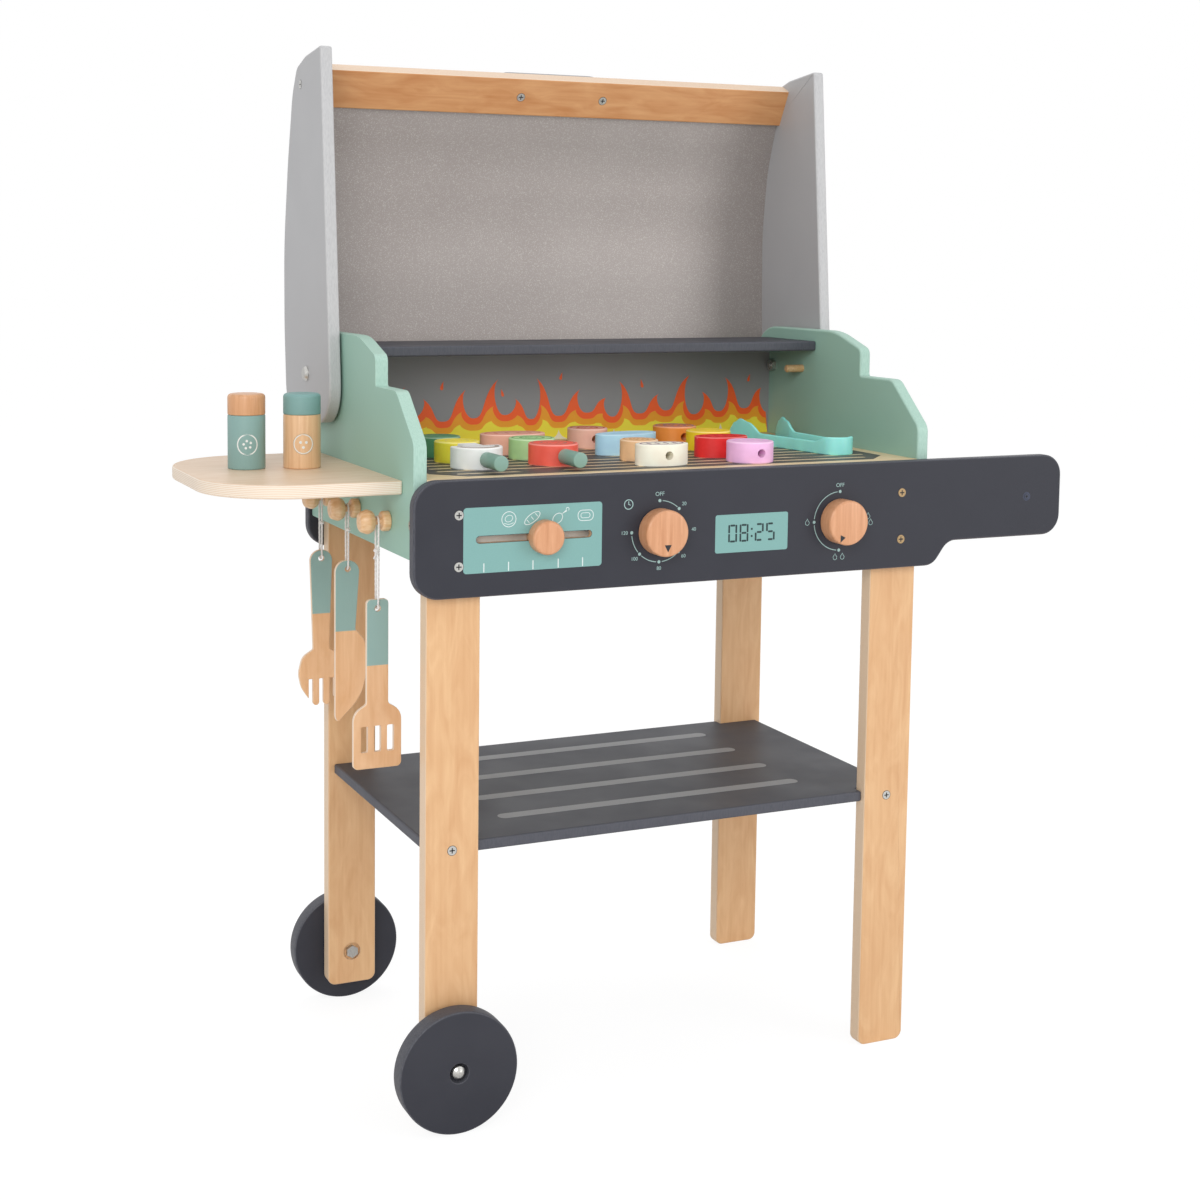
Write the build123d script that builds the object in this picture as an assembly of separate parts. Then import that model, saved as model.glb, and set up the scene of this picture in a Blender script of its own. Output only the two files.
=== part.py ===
from build123d import *
import math
import os

# Toy barbecue grill: a plywood cart on two wheels and two plain feet, with a hinged hood,
# a control panel with two knobs and a slider, a side table and hanging utensils.
# Working axes: X right, Y back, Z up; X = 0 at the left legs' outer face,
# Y = 0 at the front legs' front face. The finished parts are moved to the origin at the end.

# Frame
frame_width = 500.0          # outer face to outer face of the legs
frame_depth = 297.0          # front face of the front legs to back face of the rear legs
panel_thick = 12.0           # front, rear and side panels, hood sides, cooktop
leg_width = 50.0
leg_thick = 15.0
leg_corner = 8.0
left_leg_lift = 22.0         # the left legs stop above the floor, where the wheels carry them
panel_top = 574.0            # top of the front panel and of the cooktop
panel_height = 102.0
handle_height = 79.0         # the narrower handle end of the front and rear panels
panel_left_overhang = 16.0
handle_reach = 162.0         # from the right legs to the right end of the panels
panel_step = 6.0             # where the lower edge leaves the legs' line
panel_step_run = 34.0
panel_left_radius = 23.0
panel_right_radius = 20.0
panel_step_radius = 17.0

# Side panels
side_panel_bottom = 504.0
side_front_height = 647.0
side_front_flat = 605.0
side_front_run = 46.0
side_notch_y = 101.0
side_lobe_height = 674.0
side_lobe_y = 150.0
side_top = 690.0

# Cooktop, wall and shelves
wall_thick = 5.0
wall_bottom = 530.0
shelf_bottom = 668.0
shelf_thick = 10.0
shelf_depth = 98.0
lower_shelf_top = 252.6
lower_shelf_thick = 10.0
lower_shelf_inset_x = 6.0
lower_shelf_inset_y = 5.0
shelf_peg_radius = 4.0
shelf_peg_length = 20.0
shelf_peg_inset = 87.0       # from the back of the rear legs
shelf_peg_z = 648.0

# Side table
table_reach = 162.0
table_front = 27.0
table_rear_inset = 25.0      # from the back of the rear legs
table_top = 570.5
table_front_radius = 78.0
table_rear_radius = 83.0

# Hood, drawn in its own frame: s runs up the straight rim, d runs back from it
pivot_inset = 29.0           # from the back of the rear legs
pivot_z = 648.0
hood_lean = 5.2              # degrees that the open hood leans back
rim_gap = 0.6                # the closed rim over the front panel
hood_side_gap = 2.0
hood_top = 306.0
hood_foot = 48.0
hood_foot_radius = 36.0
hood_depth = 149.0
hood_back_radius = 42.0
sheet_thick = 3.0
sheet_wall = 119.5
sheet_foot = 40.0
sheet_groove = 4.0
rail_width = 40.0
rail_thick = 15.0
rail_s = 280.5
rail_d = 67.5
rail_tilt = 33.0             # degrees between the rail's width and the rim
grip_length = 112.0
grip_height = 30.0
grip_width = 18.0
grip_bar = 13.0
grip_foot = 16.0
grip_screw_spacing = 92.0

# Wheels
wheel_radius = 55.0
wheel_thick = 18.0
wheel_edge = 2.0
wheel_x = 25.0
washer_thick = 3.0
washer_radius = 11.0
axle_radius = 4.0
axle_head_radius = 6.5
axle_head_thick = 5.0
axle_recess_depth = 3.0
axle_recess_radius = 9.0
hub_recess_depth = 7.0       # recess in the wheel's outer face, which hides the cap nut
hub_recess_radius = 9.0
cap_nut_radius = 6.5
cap_nut_length = 7.5
cap_nut_blind = 2.6          # from the end of the bolt to the top of the dome

# Controls
knob_radius = 21.0
knob_length = 17.0
knob_edge = 2.5
knob_z = 520.5
timer_x = 217.0
heat_inset = 94.0            # from the right legs' outer face
spindle_radius = 3.0
spindle_depth = 11.0
spindle_head_radius = 6.0
spindle_head_thick = 3.5
slot_left = 41.0
slot_right = 150.0
slot_height = 6.0
slot_z = 522.0
slot_lip = 5.0               # front wall of the panel that the slider shoe runs behind
backing_thick = 2.0
slider_x = 104.0
slider_radius = 15.0
slider_length = 13.0
shoe_length = 24.0
shoe_height = 16.0

# Push handle
handle_bar_radius = 12.0
handle_bar_inset = 41.0      # from the right end of the panels
handle_bar_z = 534.0

# Hooks, utensils and their cords
hook_z = 531.0
hook_ys = {"spatula": 63.0, "knife": 149.0, "fork": 232.0}
hook_flange_radius = 9.0
hook_flange_length = 8.0
hook_neck_radius = 3.0
hook_neck_length = 6.0
hook_ball_radius = 10.5
hook_ball_length = 14.0
hook_spigot_radius = 4.0
hook_spigot_length = 8.0
cord_diameter = 2.0
utensil_thick = 4.5
utensil_length = 152.0
utensil_hole_radius = 3.0
utensil_hole_drop = 8.0      # from the end of the handle to its hole
hole_drops = {"spatula": 77.0, "knife": 56.0, "fork": 59.0}      # below the peg
knot_drops = {"spatula": 25.0, "knife": 19.0, "fork": 24.0}
knot_radius = 2.3

# Shakers on the side table
shaker_radius = 17.0
shaker_body_height = 49.0
shaker_cap_height = 19.0
shaker_places = {"pepper": (-114.0, 162.0), "salt": (-65.0, 152.0)}

# Play food on the cooktop
food_thick = 20.0
food_bore = 4.0
skewer_radius = 7.0
skewer_grip = 34.0
skewer_rod_radius = 3.5
skewer_length = 196.0
tongs_inset = 54.0           # from the right legs' outer face
tongs_y = 108.0
tongs_turn = 4.0
tongs_thick = 3.0
tongs_width = 18.0
tongs_paddle_width = 27.0

# Screws and clearances
screw_radius = 2.0
screw_head_radius = 4.2
screw_head_depth = 2.6
screw_length = 24.0
screw_margin = 4.0           # wood left over the end of a screw
rail_screw_length = 30.0
pivot_radius = 3.0
pivot_head_radius = 7.5
pivot_head_thick = 3.5
pivot_nut_radius = 6.5
pivot_nut_thick = 5.0
running_gap = 0.3
fit_gap = 0.1

# Values worked out from those above
panel_bottom = panel_top - panel_height
cooktop_bottom = panel_top - panel_thick
rear_leg_y = frame_depth - leg_thick
cooktop_depth = rear_leg_y - wall_thick
shelf_peg_y = frame_depth - shelf_peg_inset
table_rear = frame_depth - table_rear_inset
pivot_y = frame_depth - pivot_inset
right_leg_x = frame_width - leg_width
panel_left = -panel_left_overhang
panel_right = frame_width + handle_reach
handle_bar_x = panel_right - handle_bar_inset
heat_x = frame_width - heat_inset
grip_screw_length = screw_length + rail_thick - screw_margin
hole_zs = {name: hook_z - drop for name, drop in hole_drops.items()}
knot_zs = {name: hook_z - drop for name, drop in knot_drops.items()}
rim_to_pivot = pivot_z - panel_top - rim_gap
lean = math.radians(hood_lean)
rim_y = pivot_y - rim_to_pivot * math.cos(lean)
rim_z = pivot_z + rim_to_pivot * math.sin(lean)
hood_inner_left = -panel_thick - hood_side_gap
hood_inner_right = frame_width + panel_thick + hood_side_gap
wheel_z = wheel_radius
cord_radius = cord_diameter / 2


def board_facing_front(sketch, front_y, thick):
    plane = Plane(origin=(0, front_y + thick, 0), x_dir=(1, 0, 0), z_dir=(0, -1, 0))
    return extrude(plane * sketch, thick)


def board_facing_side(sketch, left_x, thick):
    return extrude(Plane(origin=(left_x, 0, 0), x_dir=(0, 1, 0), z_dir=(1, 0, 0)) * sketch, thick)


def board_flat(sketch, bottom_z, thick):
    return extrude(Plane(origin=(0, 0, bottom_z)) * sketch, thick)


def outline(corners):
    """Closed face from (x, y, radius) corners."""
    points = [(x, y) for x, y, radius in corners]
    radii = [radius for x, y, radius in corners]
    return make_face(FilletPolyline(*points, radius=radii, close=True))


def rectangle(low_x, high_x, low_y, high_y):
    return Pos((low_x + high_x) / 2, (low_y + high_y) / 2) * Rectangle(high_x - low_x, high_y - low_y)


def turned(profile, start, axis):
    """Solid of revolution from (distance along the axis, radius) points, at start along axis."""
    plane = Plane(origin=start, z_dir=axis)
    points = [(radius, distance) for distance, radius in profile]
    face = Plane.XZ * make_face(Polyline(*points, close=True))
    return plane.location * revolve(face, Axis.Z)


def rod(start, axis, radius, length):
    return turned([(0, 0), (0, radius), (length, radius), (length, 0)], start, axis)


def all_of(pieces):
    return Compound([solid for piece in pieces for solid in piece.solids()])


def countersunk_screw(head, axis, length):
    profile = [(0, 0), (0, screw_head_radius), (screw_head_depth, screw_radius),
               (length, screw_radius), (length, 0)]
    return turned(profile, head, axis)


def countersunk_hole(head, axis, length):
    profile = [(0, 0), (0, screw_head_radius + fit_gap), (screw_head_depth, screw_radius + fit_gap),
               (length + 1, screw_radius + fit_gap), (length + 1, 0)]
    return turned(profile, head, axis)


# Where the screws go: through the panels into the legs, and through the panels into the push handle
panel_screw_zs = (panel_bottom + 27.5, panel_bottom + 72.0)
panel_screw_xs = (wheel_x, frame_width - wheel_x)
shelf_screw_z = lower_shelf_top - lower_shelf_thick / 2
table_screw_ys = (90.0, 210.0)
side_screw_z = 534.0


def panel_screw_places():
    front = [((x, -panel_thick, z), (0, 1, 0)) for x in panel_screw_xs for z in panel_screw_zs]
    rear = [((x, frame_depth + panel_thick, z), (0, -1, 0)) for x in panel_screw_xs for z in panel_screw_zs]
    return front + rear


def handle_screw_places():
    return [((handle_bar_x, -panel_thick, handle_bar_z), (0, 1, 0)),
            ((handle_bar_x, frame_depth + panel_thick, handle_bar_z), (0, -1, 0))]


def shelf_screw_places():
    return [((x, y, shelf_screw_z), axis) for x in panel_screw_xs
            for y, axis in ((0, (0, 1, 0)), (frame_depth, (0, -1, 0)))]


def side_screw_places():
    """Through the side panels into the edges of the legs."""
    return [((x, y, side_screw_z), axis) for x, axis in ((-panel_thick, (1, 0, 0)), (frame_width + panel_thick, (-1, 0, 0)))
            for y in (leg_thick / 2, frame_depth - leg_thick / 2)]


def rail_screw_places():
    """Through the hood sides into the ends of the rail."""
    left, right = hood_inner_left - panel_thick, hood_inner_right + panel_thick
    return [(hood_point(left, rail_d, rail_s), (1, 0, 0)), (hood_point(right, rail_d, rail_s), (-1, 0, 0))]


def table_screw_places():
    return [((0, y, table_top - panel_thick / 2), (-1, 0, 0)) for y in table_screw_ys]


def bored(solid, places, length=screw_length):
    for head, axis in places:
        solid -= countersunk_hole(head, axis, length)
    return solid


# Cart frame

def leg(left_x, front_y, lift):
    sketch = outline([(left_x, lift, leg_corner), (left_x + leg_width, lift, leg_corner),
                      (left_x + leg_width, cooktop_bottom, 0), (left_x, cooktop_bottom, 0)])
    return bored(board_facing_front(sketch, front_y, leg_thick),
                 panel_screw_places() + shelf_screw_places() + side_screw_places())


def left_leg(front_y, outward):
    """Leg with the axle hole, and a recess for the bolt head on its inner face."""
    inner_y = front_y if outward > 0 else front_y + leg_thick
    bolt_hole = rod((wheel_x, inner_y, wheel_z), (0, outward, 0), axle_radius + fit_gap, leg_thick)
    recess = rod((wheel_x, inner_y, wheel_z), (0, outward, 0), axle_recess_radius, axle_recess_depth)
    return leg(0, front_y, left_leg_lift) - bolt_hole - recess


def panel_outline():
    step_x = frame_width + panel_step
    handle_bottom = panel_top - handle_height
    return outline([(panel_left, panel_bottom, panel_left_radius),
                    (step_x + panel_step_run * 0.2, panel_bottom, panel_step_radius),
                    (step_x + panel_step_run * 0.7, handle_bottom, panel_step_radius),
                    (panel_right, handle_bottom, panel_right_radius),
                    (panel_right, panel_top, panel_right_radius),
                    (panel_left, panel_top, panel_left_radius)])


pocket_left = slot_left + slot_height / 2 - shoe_length / 2 - running_gap
pocket_right = slot_right - slot_height / 2 + shoe_length / 2 + running_gap


def slider_slot():
    """The slot through the panel's front wall, and the shoe's pocket behind it."""
    slot = board_facing_front(Pos((slot_left + slot_right) / 2, slot_z)
                              * SlotOverall(slot_right - slot_left, slot_height), -panel_thick, panel_thick)
    pocket = board_facing_front(rectangle(pocket_left, pocket_right, slot_z - shoe_height / 2 - running_gap,
                                          slot_z + shoe_height / 2 + running_gap),
                                -panel_thick + slot_lip, panel_thick - slot_lip)
    return slot + pocket


def front_panel():
    solid = board_facing_front(panel_outline(), -panel_thick, panel_thick)
    for x in (timer_x, heat_x):
        solid -= rod((x, -panel_thick, knob_z), (0, 1, 0), spindle_radius + running_gap, panel_thick)
    return bored(solid - slider_slot(), panel_screw_places() + handle_screw_places())


def rear_panel():
    solid = board_facing_front(panel_outline(), frame_depth, panel_thick)
    return bored(solid, panel_screw_places() + handle_screw_places())


def slider_backing():
    sketch = rectangle(pocket_left + fit_gap, pocket_right - fit_gap,
                       slot_z - shoe_height / 2 - running_gap + fit_gap,
                       slot_z + shoe_height / 2 + running_gap - fit_gap)
    return board_facing_front(sketch, -backing_thick, backing_thick)


def side_panel(left_x):
    """Side panel with a low front lobe, a notch and a high rear lobe that carries the hood."""
    sketch = outline([(0, side_panel_bottom, 3), (0, side_front_flat, 14),
                      (side_front_run, side_front_height, 14), (side_notch_y, side_front_height, 3),
                      (side_notch_y, side_lobe_height, 8), (side_lobe_y, side_top, 90),
                      (frame_depth, side_top, 0), (frame_depth, side_panel_bottom, 3)])
    swing = side_top - pivot_z
    corner = rectangle(pivot_y, frame_depth + 1, pivot_z, side_top + 1) - Pos(pivot_y, pivot_z) * Circle(swing)
    solid = board_facing_side(sketch - corner, left_x, panel_thick)
    solid -= rod((left_x, pivot_y, pivot_z), (1, 0, 0), pivot_radius + fit_gap, panel_thick)
    inner_x = left_x + panel_thick if left_x < 0 else left_x
    outward = -1 if left_x < 0 else 1
    solid -= rod((inner_x, shelf_peg_y, shelf_peg_z), (outward, 0, 0),
                 shelf_peg_radius + fit_gap, hook_spigot_length)
    return bored(solid, side_screw_places())


def side_panel_left():
    solid = side_panel(-panel_thick)
    for y in hook_ys.values():
        solid -= rod((-panel_thick, y, hook_z), (1, 0, 0), hook_spigot_radius + fit_gap, hook_spigot_length)
    return bored(solid, table_screw_places())


def cooktop_board():
    solid = board_flat(rectangle(0, frame_width, 0, cooktop_depth), cooktop_bottom, panel_thick)
    return solid


def back_wall():
    return board_flat(rectangle(0, frame_width, cooktop_depth, cooktop_depth + wall_thick),
                      wall_bottom, shelf_bottom - wall_bottom)


def warming_shelf():
    rear = cooktop_depth + wall_thick
    solid = board_flat(rectangle(0, frame_width, rear - shelf_depth, rear), shelf_bottom, shelf_thick)
    front_edges = solid.edges().filter_by(Axis.X).group_by(Axis.Y)[0]
    return fillet(front_edges, 2)


def shelf_pegs():
    """Two short hanging pegs under the warming shelf, one in each side panel."""
    profile = [(-hook_spigot_length, 0), (-hook_spigot_length, shelf_peg_radius),
               (shelf_peg_length - 1, shelf_peg_radius), (shelf_peg_length, shelf_peg_radius - 1),
               (shelf_peg_length, 0)]
    return all_of([turned(profile, (0, shelf_peg_y, shelf_peg_z), (1, 0, 0)),
                   turned(profile, (frame_width, shelf_peg_y, shelf_peg_z), (-1, 0, 0))])


def lower_shelf():
    """Open shelf, notched round the four legs."""
    sketch = rectangle(lower_shelf_inset_x, frame_width - lower_shelf_inset_x,
                       lower_shelf_inset_y, frame_depth - lower_shelf_inset_y)
    for left_x in (0, right_leg_x):
        for front_y in (0, rear_leg_y):
            sketch -= rectangle(left_x, left_x + leg_width, front_y, front_y + leg_thick)
    solid = board_flat(sketch, lower_shelf_top - lower_shelf_thick, lower_shelf_thick)
    return bored(solid, shelf_screw_places())


def side_table():
    inner_x = -panel_thick
    outer_x = inner_x - table_reach
    sketch = outline([(inner_x, table_front, 0), (outer_x, table_front, table_front_radius),
                      (outer_x, table_rear, table_rear_radius), (inner_x, table_rear, 0)])
    solid = board_flat(sketch, table_top - panel_thick, panel_thick)
    return bored(solid, table_screw_places(), screw_length + panel_thick)


def push_handle():
    solid = rod((handle_bar_x, 0, handle_bar_z), (0, 1, 0), handle_bar_radius, frame_depth)
    return bored(solid, handle_screw_places())


def hook_pegs():
    """Three turned pegs: spigot, flange, neck for the cord and a rounded ball."""
    solids = []
    for y in hook_ys.values():
        start = (-panel_thick, y, hook_z)
        neck_end = hook_flange_length + hook_neck_length
        stem = turned([(-hook_spigot_length, 0), (-hook_spigot_length, hook_spigot_radius),
                       (0, hook_spigot_radius), (0, hook_flange_radius - 1), (1, hook_flange_radius),
                       (hook_flange_length - 1, hook_flange_radius),
                       (hook_flange_length, hook_flange_radius - 1),
                       (hook_flange_length, hook_neck_radius), (neck_end + 1, hook_neck_radius),
                       (neck_end + 1, 0)], start, (-1, 0, 0))
        ball = Sphere(hook_ball_radius)
        ball &= Box(3 * hook_ball_radius, 3 * hook_ball_radius, hook_ball_length)
        ball_x = -panel_thick - neck_end - hook_ball_length / 2
        solids.append(stem + Pos(ball_x, y, hook_z) * Rot(0, 90, 0) * ball)
    return all_of(solids)


# Hood

def hood_plane(x):
    return Plane(origin=(x, rim_y, rim_z), x_dir=(0, math.cos(lean), -math.sin(lean)), z_dir=(1, 0, 0))


def hood_point(x, d, s):
    return (x, rim_y + d * math.cos(lean) + s * math.sin(lean), rim_z - d * math.sin(lean) + s * math.cos(lean))


def sheet_path(foot, top_gap):
    """Middle line of the bent sheet, from its lower edge up to the rail's lower edge, as (d, s)."""
    wall = sheet_wall + sheet_thick / 2
    bend_d, bend_s = wall - 20.5, 214.0
    tilt = math.radians(rail_tilt)
    rail_edge = Vector(rail_d + math.sin(tilt) * rail_width / 2, rail_s - math.cos(tilt) * rail_width / 2)
    end = rail_edge - (rail_edge - Vector(bend_d, bend_s)).normalized() * top_gap
    points = [(wall, -foot), (wall, 62), (wall - 6.5, 150), (bend_d, bend_s), (end.X, end.Y)]
    return FilletPolyline(*points, radius=[400, 300, 180])


def rail_frame(x):
    """Plane at the rail's middle: local x along its width, local y outwards through its thickness."""
    tilt = math.radians(rail_tilt)
    centre = hood_point(x, rail_d, rail_s)
    along_d, along_s = -math.sin(tilt), math.cos(tilt)
    x_dir = (0, along_d * math.cos(lean) + along_s * math.sin(lean),
             -along_d * math.sin(lean) + along_s * math.cos(lean))
    return Plane(origin=centre, x_dir=x_dir, z_dir=(-1, 0, 0))


def hood_side(left_x, inner_x):
    sketch = outline([(0, -hood_foot, hood_foot_radius), (0, hood_top, 3), (50, hood_top - 1, 20),
                      (80, hood_top - 7, 16), (98, hood_top - 31, 60), (120, 212, 250), (142, 132, 300),
                      (hood_depth, 50, 300), (hood_depth, -hood_foot, hood_back_radius)])
    solid = extrude(hood_plane(left_x) * sketch, panel_thick)
    solid -= rod((left_x, pivot_y, pivot_z), (1, 0, 0), pivot_radius + running_gap, panel_thick)
    solid = bored(solid, rail_screw_places(), rail_screw_length)
    groove_x = inner_x - sheet_groove if left_x < 0 else inner_x
    groove = trace(sheet_path(sheet_foot + fit_gap, running_gap), sheet_thick + 2 * fit_gap)
    return solid - extrude(hood_plane(groove_x) * groove, sheet_groove)


def hood_sheet():
    left = hood_inner_left - sheet_groove + fit_gap
    right = hood_inner_right + sheet_groove - fit_gap
    return extrude(hood_plane(left) * trace(sheet_path(sheet_foot, 2 * running_gap), sheet_thick), right - left)


grip_screw_xs = (frame_width / 2 - grip_screw_spacing / 2, frame_width / 2 + grip_screw_spacing / 2)


def grip_screw_places():
    places = []
    for x in grip_screw_xs:
        plane = rail_frame(x)
        head = plane.origin - plane.y_dir * (rail_thick / 2)
        places.append((tuple(head), tuple(plane.y_dir)))
    return places


def hood_rail():
    solid = extrude(rail_frame(hood_inner_right) * Rectangle(rail_width, rail_thick),
                    hood_inner_right - hood_inner_left)
    solid = fillet(solid.edges().filter_by(Axis.X), 1.5)
    return bored(bored(solid, grip_screw_places(), grip_screw_length), rail_screw_places(), rail_screw_length)


def hood_grip():
    """Bridge handle on the rail's outer face: two feet and a bar with room for fingers."""
    plane = rail_frame(frame_width / 2)
    side = Plane(origin=plane.origin + plane.y_dir * (rail_thick / 2) - plane.x_dir * (grip_width / 2),
                 x_dir=(1, 0, 0), z_dir=plane.x_dir)
    up = 1 if side.y_dir.dot(plane.y_dir) > 0 else -1
    half = grip_length / 2
    inner = half - grip_foot
    sketch = outline([(-half, 0, 0), (half, 0, 0), (half, up * grip_height, 11), (-half, up * grip_height, 11)])
    sketch -= outline([(-inner, -up, 0), (inner, -up, 0), (inner, up * (grip_height - grip_bar), 7),
                       (-inner, up * (grip_height - grip_bar), 7)])
    solid = extrude(side * sketch, grip_width)
    return bored(solid, grip_screw_places(), grip_screw_length)


def pivot_ends():
    """Outer face of each hood side, the way inwards and the inner face of each side panel."""
    return [(hood_inner_left - panel_thick, 1), (hood_inner_right + panel_thick, -1)]


def hood_pivot_bolts():
    length = 2 * panel_thick + hood_side_gap + pivot_nut_thick + 1.5
    profile = [(-pivot_head_thick, 0), (-pivot_head_thick, pivot_head_radius - 2), (-1, pivot_head_radius),
               (0, pivot_head_radius), (0, pivot_radius), (length, pivot_radius), (length, 0)]
    return all_of([turned(profile, (x, pivot_y, pivot_z), (inward, 0, 0)) for x, inward in pivot_ends()])


def hood_pivot_nuts():
    solids = []
    for x, inward in pivot_ends():
        seat = x + inward * (2 * panel_thick + hood_side_gap)
        plane = Plane(origin=(seat, pivot_y, pivot_z), z_dir=(inward, 0, 0))
        ring = RegularPolygon(pivot_nut_radius, 6) - Circle(pivot_radius + fit_gap)
        solids.append(extrude(plane * ring, pivot_nut_thick))
    return all_of(solids)


def hood_spacers():
    solids = []
    for x, inward in pivot_ends():
        seat = x + inward * (panel_thick + fit_gap)
        plane = Plane(origin=(seat, pivot_y, pivot_z), z_dir=(inward, 0, 0))
        solids.append(extrude(plane * (Circle(10) - Circle(pivot_radius + fit_gap)), hood_side_gap - fit_gap))
    return all_of(solids)


# Wheels: each runs on a bolt through its leg, between a washer and a cap nut

hub_floor = washer_thick + wheel_thick - hub_recess_depth + 2 * running_gap


def wheel_sides():
    return {"front": (0, -1), "rear": (frame_depth, 1)}


def wheel(side):
    face_y, outward = wheel_sides()[side]
    near = face_y + outward * (washer_thick + running_gap)
    bore = axle_radius + running_gap
    floor = wheel_thick - hub_recess_depth
    profile = [(0, bore), (0, wheel_radius - wheel_edge), (wheel_edge, wheel_radius),
               (wheel_thick - wheel_edge, wheel_radius), (wheel_thick, wheel_radius - wheel_edge),
               (wheel_thick, hub_recess_radius), (floor, hub_recess_radius), (floor, bore)]
    return turned(profile, (wheel_x, near, wheel_z), (0, outward, 0))


def axle_bolts():
    solids = []
    reach = hub_floor + cap_nut_length - cap_nut_blind
    for face_y, outward in wheel_sides().values():
        head_y = face_y - outward * (leg_thick - axle_recess_depth)
        plane = Plane(origin=(wheel_x, head_y, wheel_z), z_dir=(0, -outward, 0))
        head = extrude(plane * RegularPolygon(axle_head_radius, 6), axle_head_thick)
        solids.append(head + rod((wheel_x, head_y, wheel_z), (0, outward, 0), axle_radius,
                                 leg_thick - axle_recess_depth + reach))
    return all_of(solids)


def axle_washers():
    profile = [(0, axle_radius + fit_gap), (0, washer_radius), (washer_thick, washer_radius),
               (washer_thick, axle_radius + fit_gap)]
    return all_of([turned(profile, (wheel_x, face_y, wheel_z), (0, outward, 0))
                   for face_y, outward in wheel_sides().values()])


def axle_cap_nuts():
    """Domed nuts in the wheels' recesses, with a blind hole for the bolt."""
    hole = cap_nut_length - cap_nut_blind + fit_gap
    dome = cap_nut_length - 4.5
    profile = [(0, axle_radius + fit_gap), (0, cap_nut_radius), (dome, cap_nut_radius),
               (dome + 2, cap_nut_radius - 0.8), (dome + 3.6, cap_nut_radius - 2.7),
               (cap_nut_length, cap_nut_radius - 5), (cap_nut_length, 0), (hole, 0),
               (hole, axle_radius + fit_gap)]
    return all_of([turned(profile, (wheel_x, face_y + outward * hub_floor, wheel_z), (0, outward, 0))
                   for face_y, outward in wheel_sides().values()])


# Controls on the front panel

def knob(x):
    back_y = -panel_thick - running_gap
    profile = [(0, spindle_radius), (0, knob_radius), (knob_length - knob_edge, knob_radius),
               (knob_length - knob_edge * 0.3, knob_radius - knob_edge * 0.3),
               (knob_length, knob_radius - knob_edge), (knob_length, 0),
               (spindle_depth, 0), (spindle_depth, spindle_radius)]
    return turned(profile, (x, back_y, knob_z), (0, -1, 0))


def knob_spindle(x):
    """Screw from behind the panel, fast in the knob and free in the panel."""
    head_y = running_gap
    length = panel_thick + 2 * running_gap + spindle_depth
    profile = [(-spindle_head_thick, 0), (-spindle_head_thick, spindle_head_radius - 1),
               (-spindle_head_thick + 1, spindle_head_radius), (0, spindle_head_radius),
               (0, spindle_radius), (length, spindle_radius), (length, 0)]
    return turned(profile, (x, head_y, knob_z), (0, -1, 0))


slider_neck = slot_height / 2 - running_gap


def slider_knob():
    back_y = -panel_thick - running_gap
    profile = [(0, 0), (0, slider_radius - 1), (1, slider_radius), (slider_length - 2.5, slider_radius),
               (slider_length - 0.8, slider_radius - 0.8), (slider_length, slider_radius - 3),
               (slider_length, 0)]
    return turned(profile, (slider_x, back_y, slot_z), (0, -1, 0))


def slider_shoe():
    """Shoe behind the slot, with the neck that reaches forward to the knob."""
    front_y = -panel_thick + slot_lip + running_gap
    thick = panel_thick - slot_lip - backing_thick - 2 * running_gap
    shoe = board_facing_front(rectangle(slider_x - shoe_length / 2, slider_x + shoe_length / 2,
                                        slot_z - shoe_height / 2, slot_z + shoe_height / 2), front_y, thick)
    return shoe + rod((slider_x, front_y, slot_z), (0, -1, 0), slider_neck, slot_lip + 2 * running_gap)


# Hanging utensils: flat boards in the XZ plane, each on a cord loop

hang_x = -panel_thick - hook_flange_length - hook_neck_length / 2


def utensil(name, sketch, cuts=()):
    """Board hung from its hole; the sketch has the handle's end at y = 0 and runs down."""
    for cut in cuts:
        sketch -= cut
    sketch -= Pos(0, -utensil_hole_drop) * Circle(utensil_hole_radius)
    top_z = hole_zs[name] + utensil_hole_drop
    return board_facing_front(Pos(hang_x, top_z) * sketch, hook_ys[name] - utensil_thick / 2, utensil_thick)


def spatula():
    handle, blade, shoulder = 10.1, 22.4, 94.0
    sketch = outline([(-handle, 0, 4), (handle, 0, 4), (handle, -shoulder, 4), (blade, -shoulder - 7, 14),
                      (blade, -utensil_length, 4.5), (-blade, -utensil_length, 4.5),
                      (-blade, -shoulder - 7, 14), (-handle, -shoulder, 4)])
    slots = [Pos(x, -utensil_length + 26.7) * RectangleRounded(6.6, 23.7, 1.4) for x in (-12.2, 0, 12.2)]
    return utensil("spatula", sketch, slots)


def knife():
    """Straight spine on the left; the blade bulges to the right and curves down to its tip."""
    handle, tip = 12.0, -utensil_length
    sketch = outline([(-handle, 0, 11), (handle, 0, 11), (7.5, -65, 3), (17, -76, 14), (19.5, -102, 60),
                      (13, tip + 22, 45), (-10, tip, 2), (-handle, tip + 6, 2)])
    return utensil("knife", sketch)


def fork():
    """Two round-ended tines between two outer ones that follow the bowl's curve to a point."""
    handle, tip, tine_gap, tine = 11.3, -utensil_length, 4.2, 6.3
    half = [(handle, 0, 10.4), (8, -97, 2.5), (19, -104, 12), (23, -120, 22), (20, -134, 20), (11, tip + 4.5, 0)]
    sketch = outline(half + [(-x, y, radius) for x, y, radius in reversed(half)])
    pitch = tine_gap + tine
    for x in (-pitch, 0, pitch):
        sketch -= rectangle(x - tine_gap / 2, x + tine_gap / 2, tip - 1, tip + 26)
    for x in (-pitch / 2, pitch / 2):
        sketch += Pos(x, tip + 16) * Rot(0, 0, 90) * SlotOverall(32, tine)
    return utensil("fork", sketch)


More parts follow.
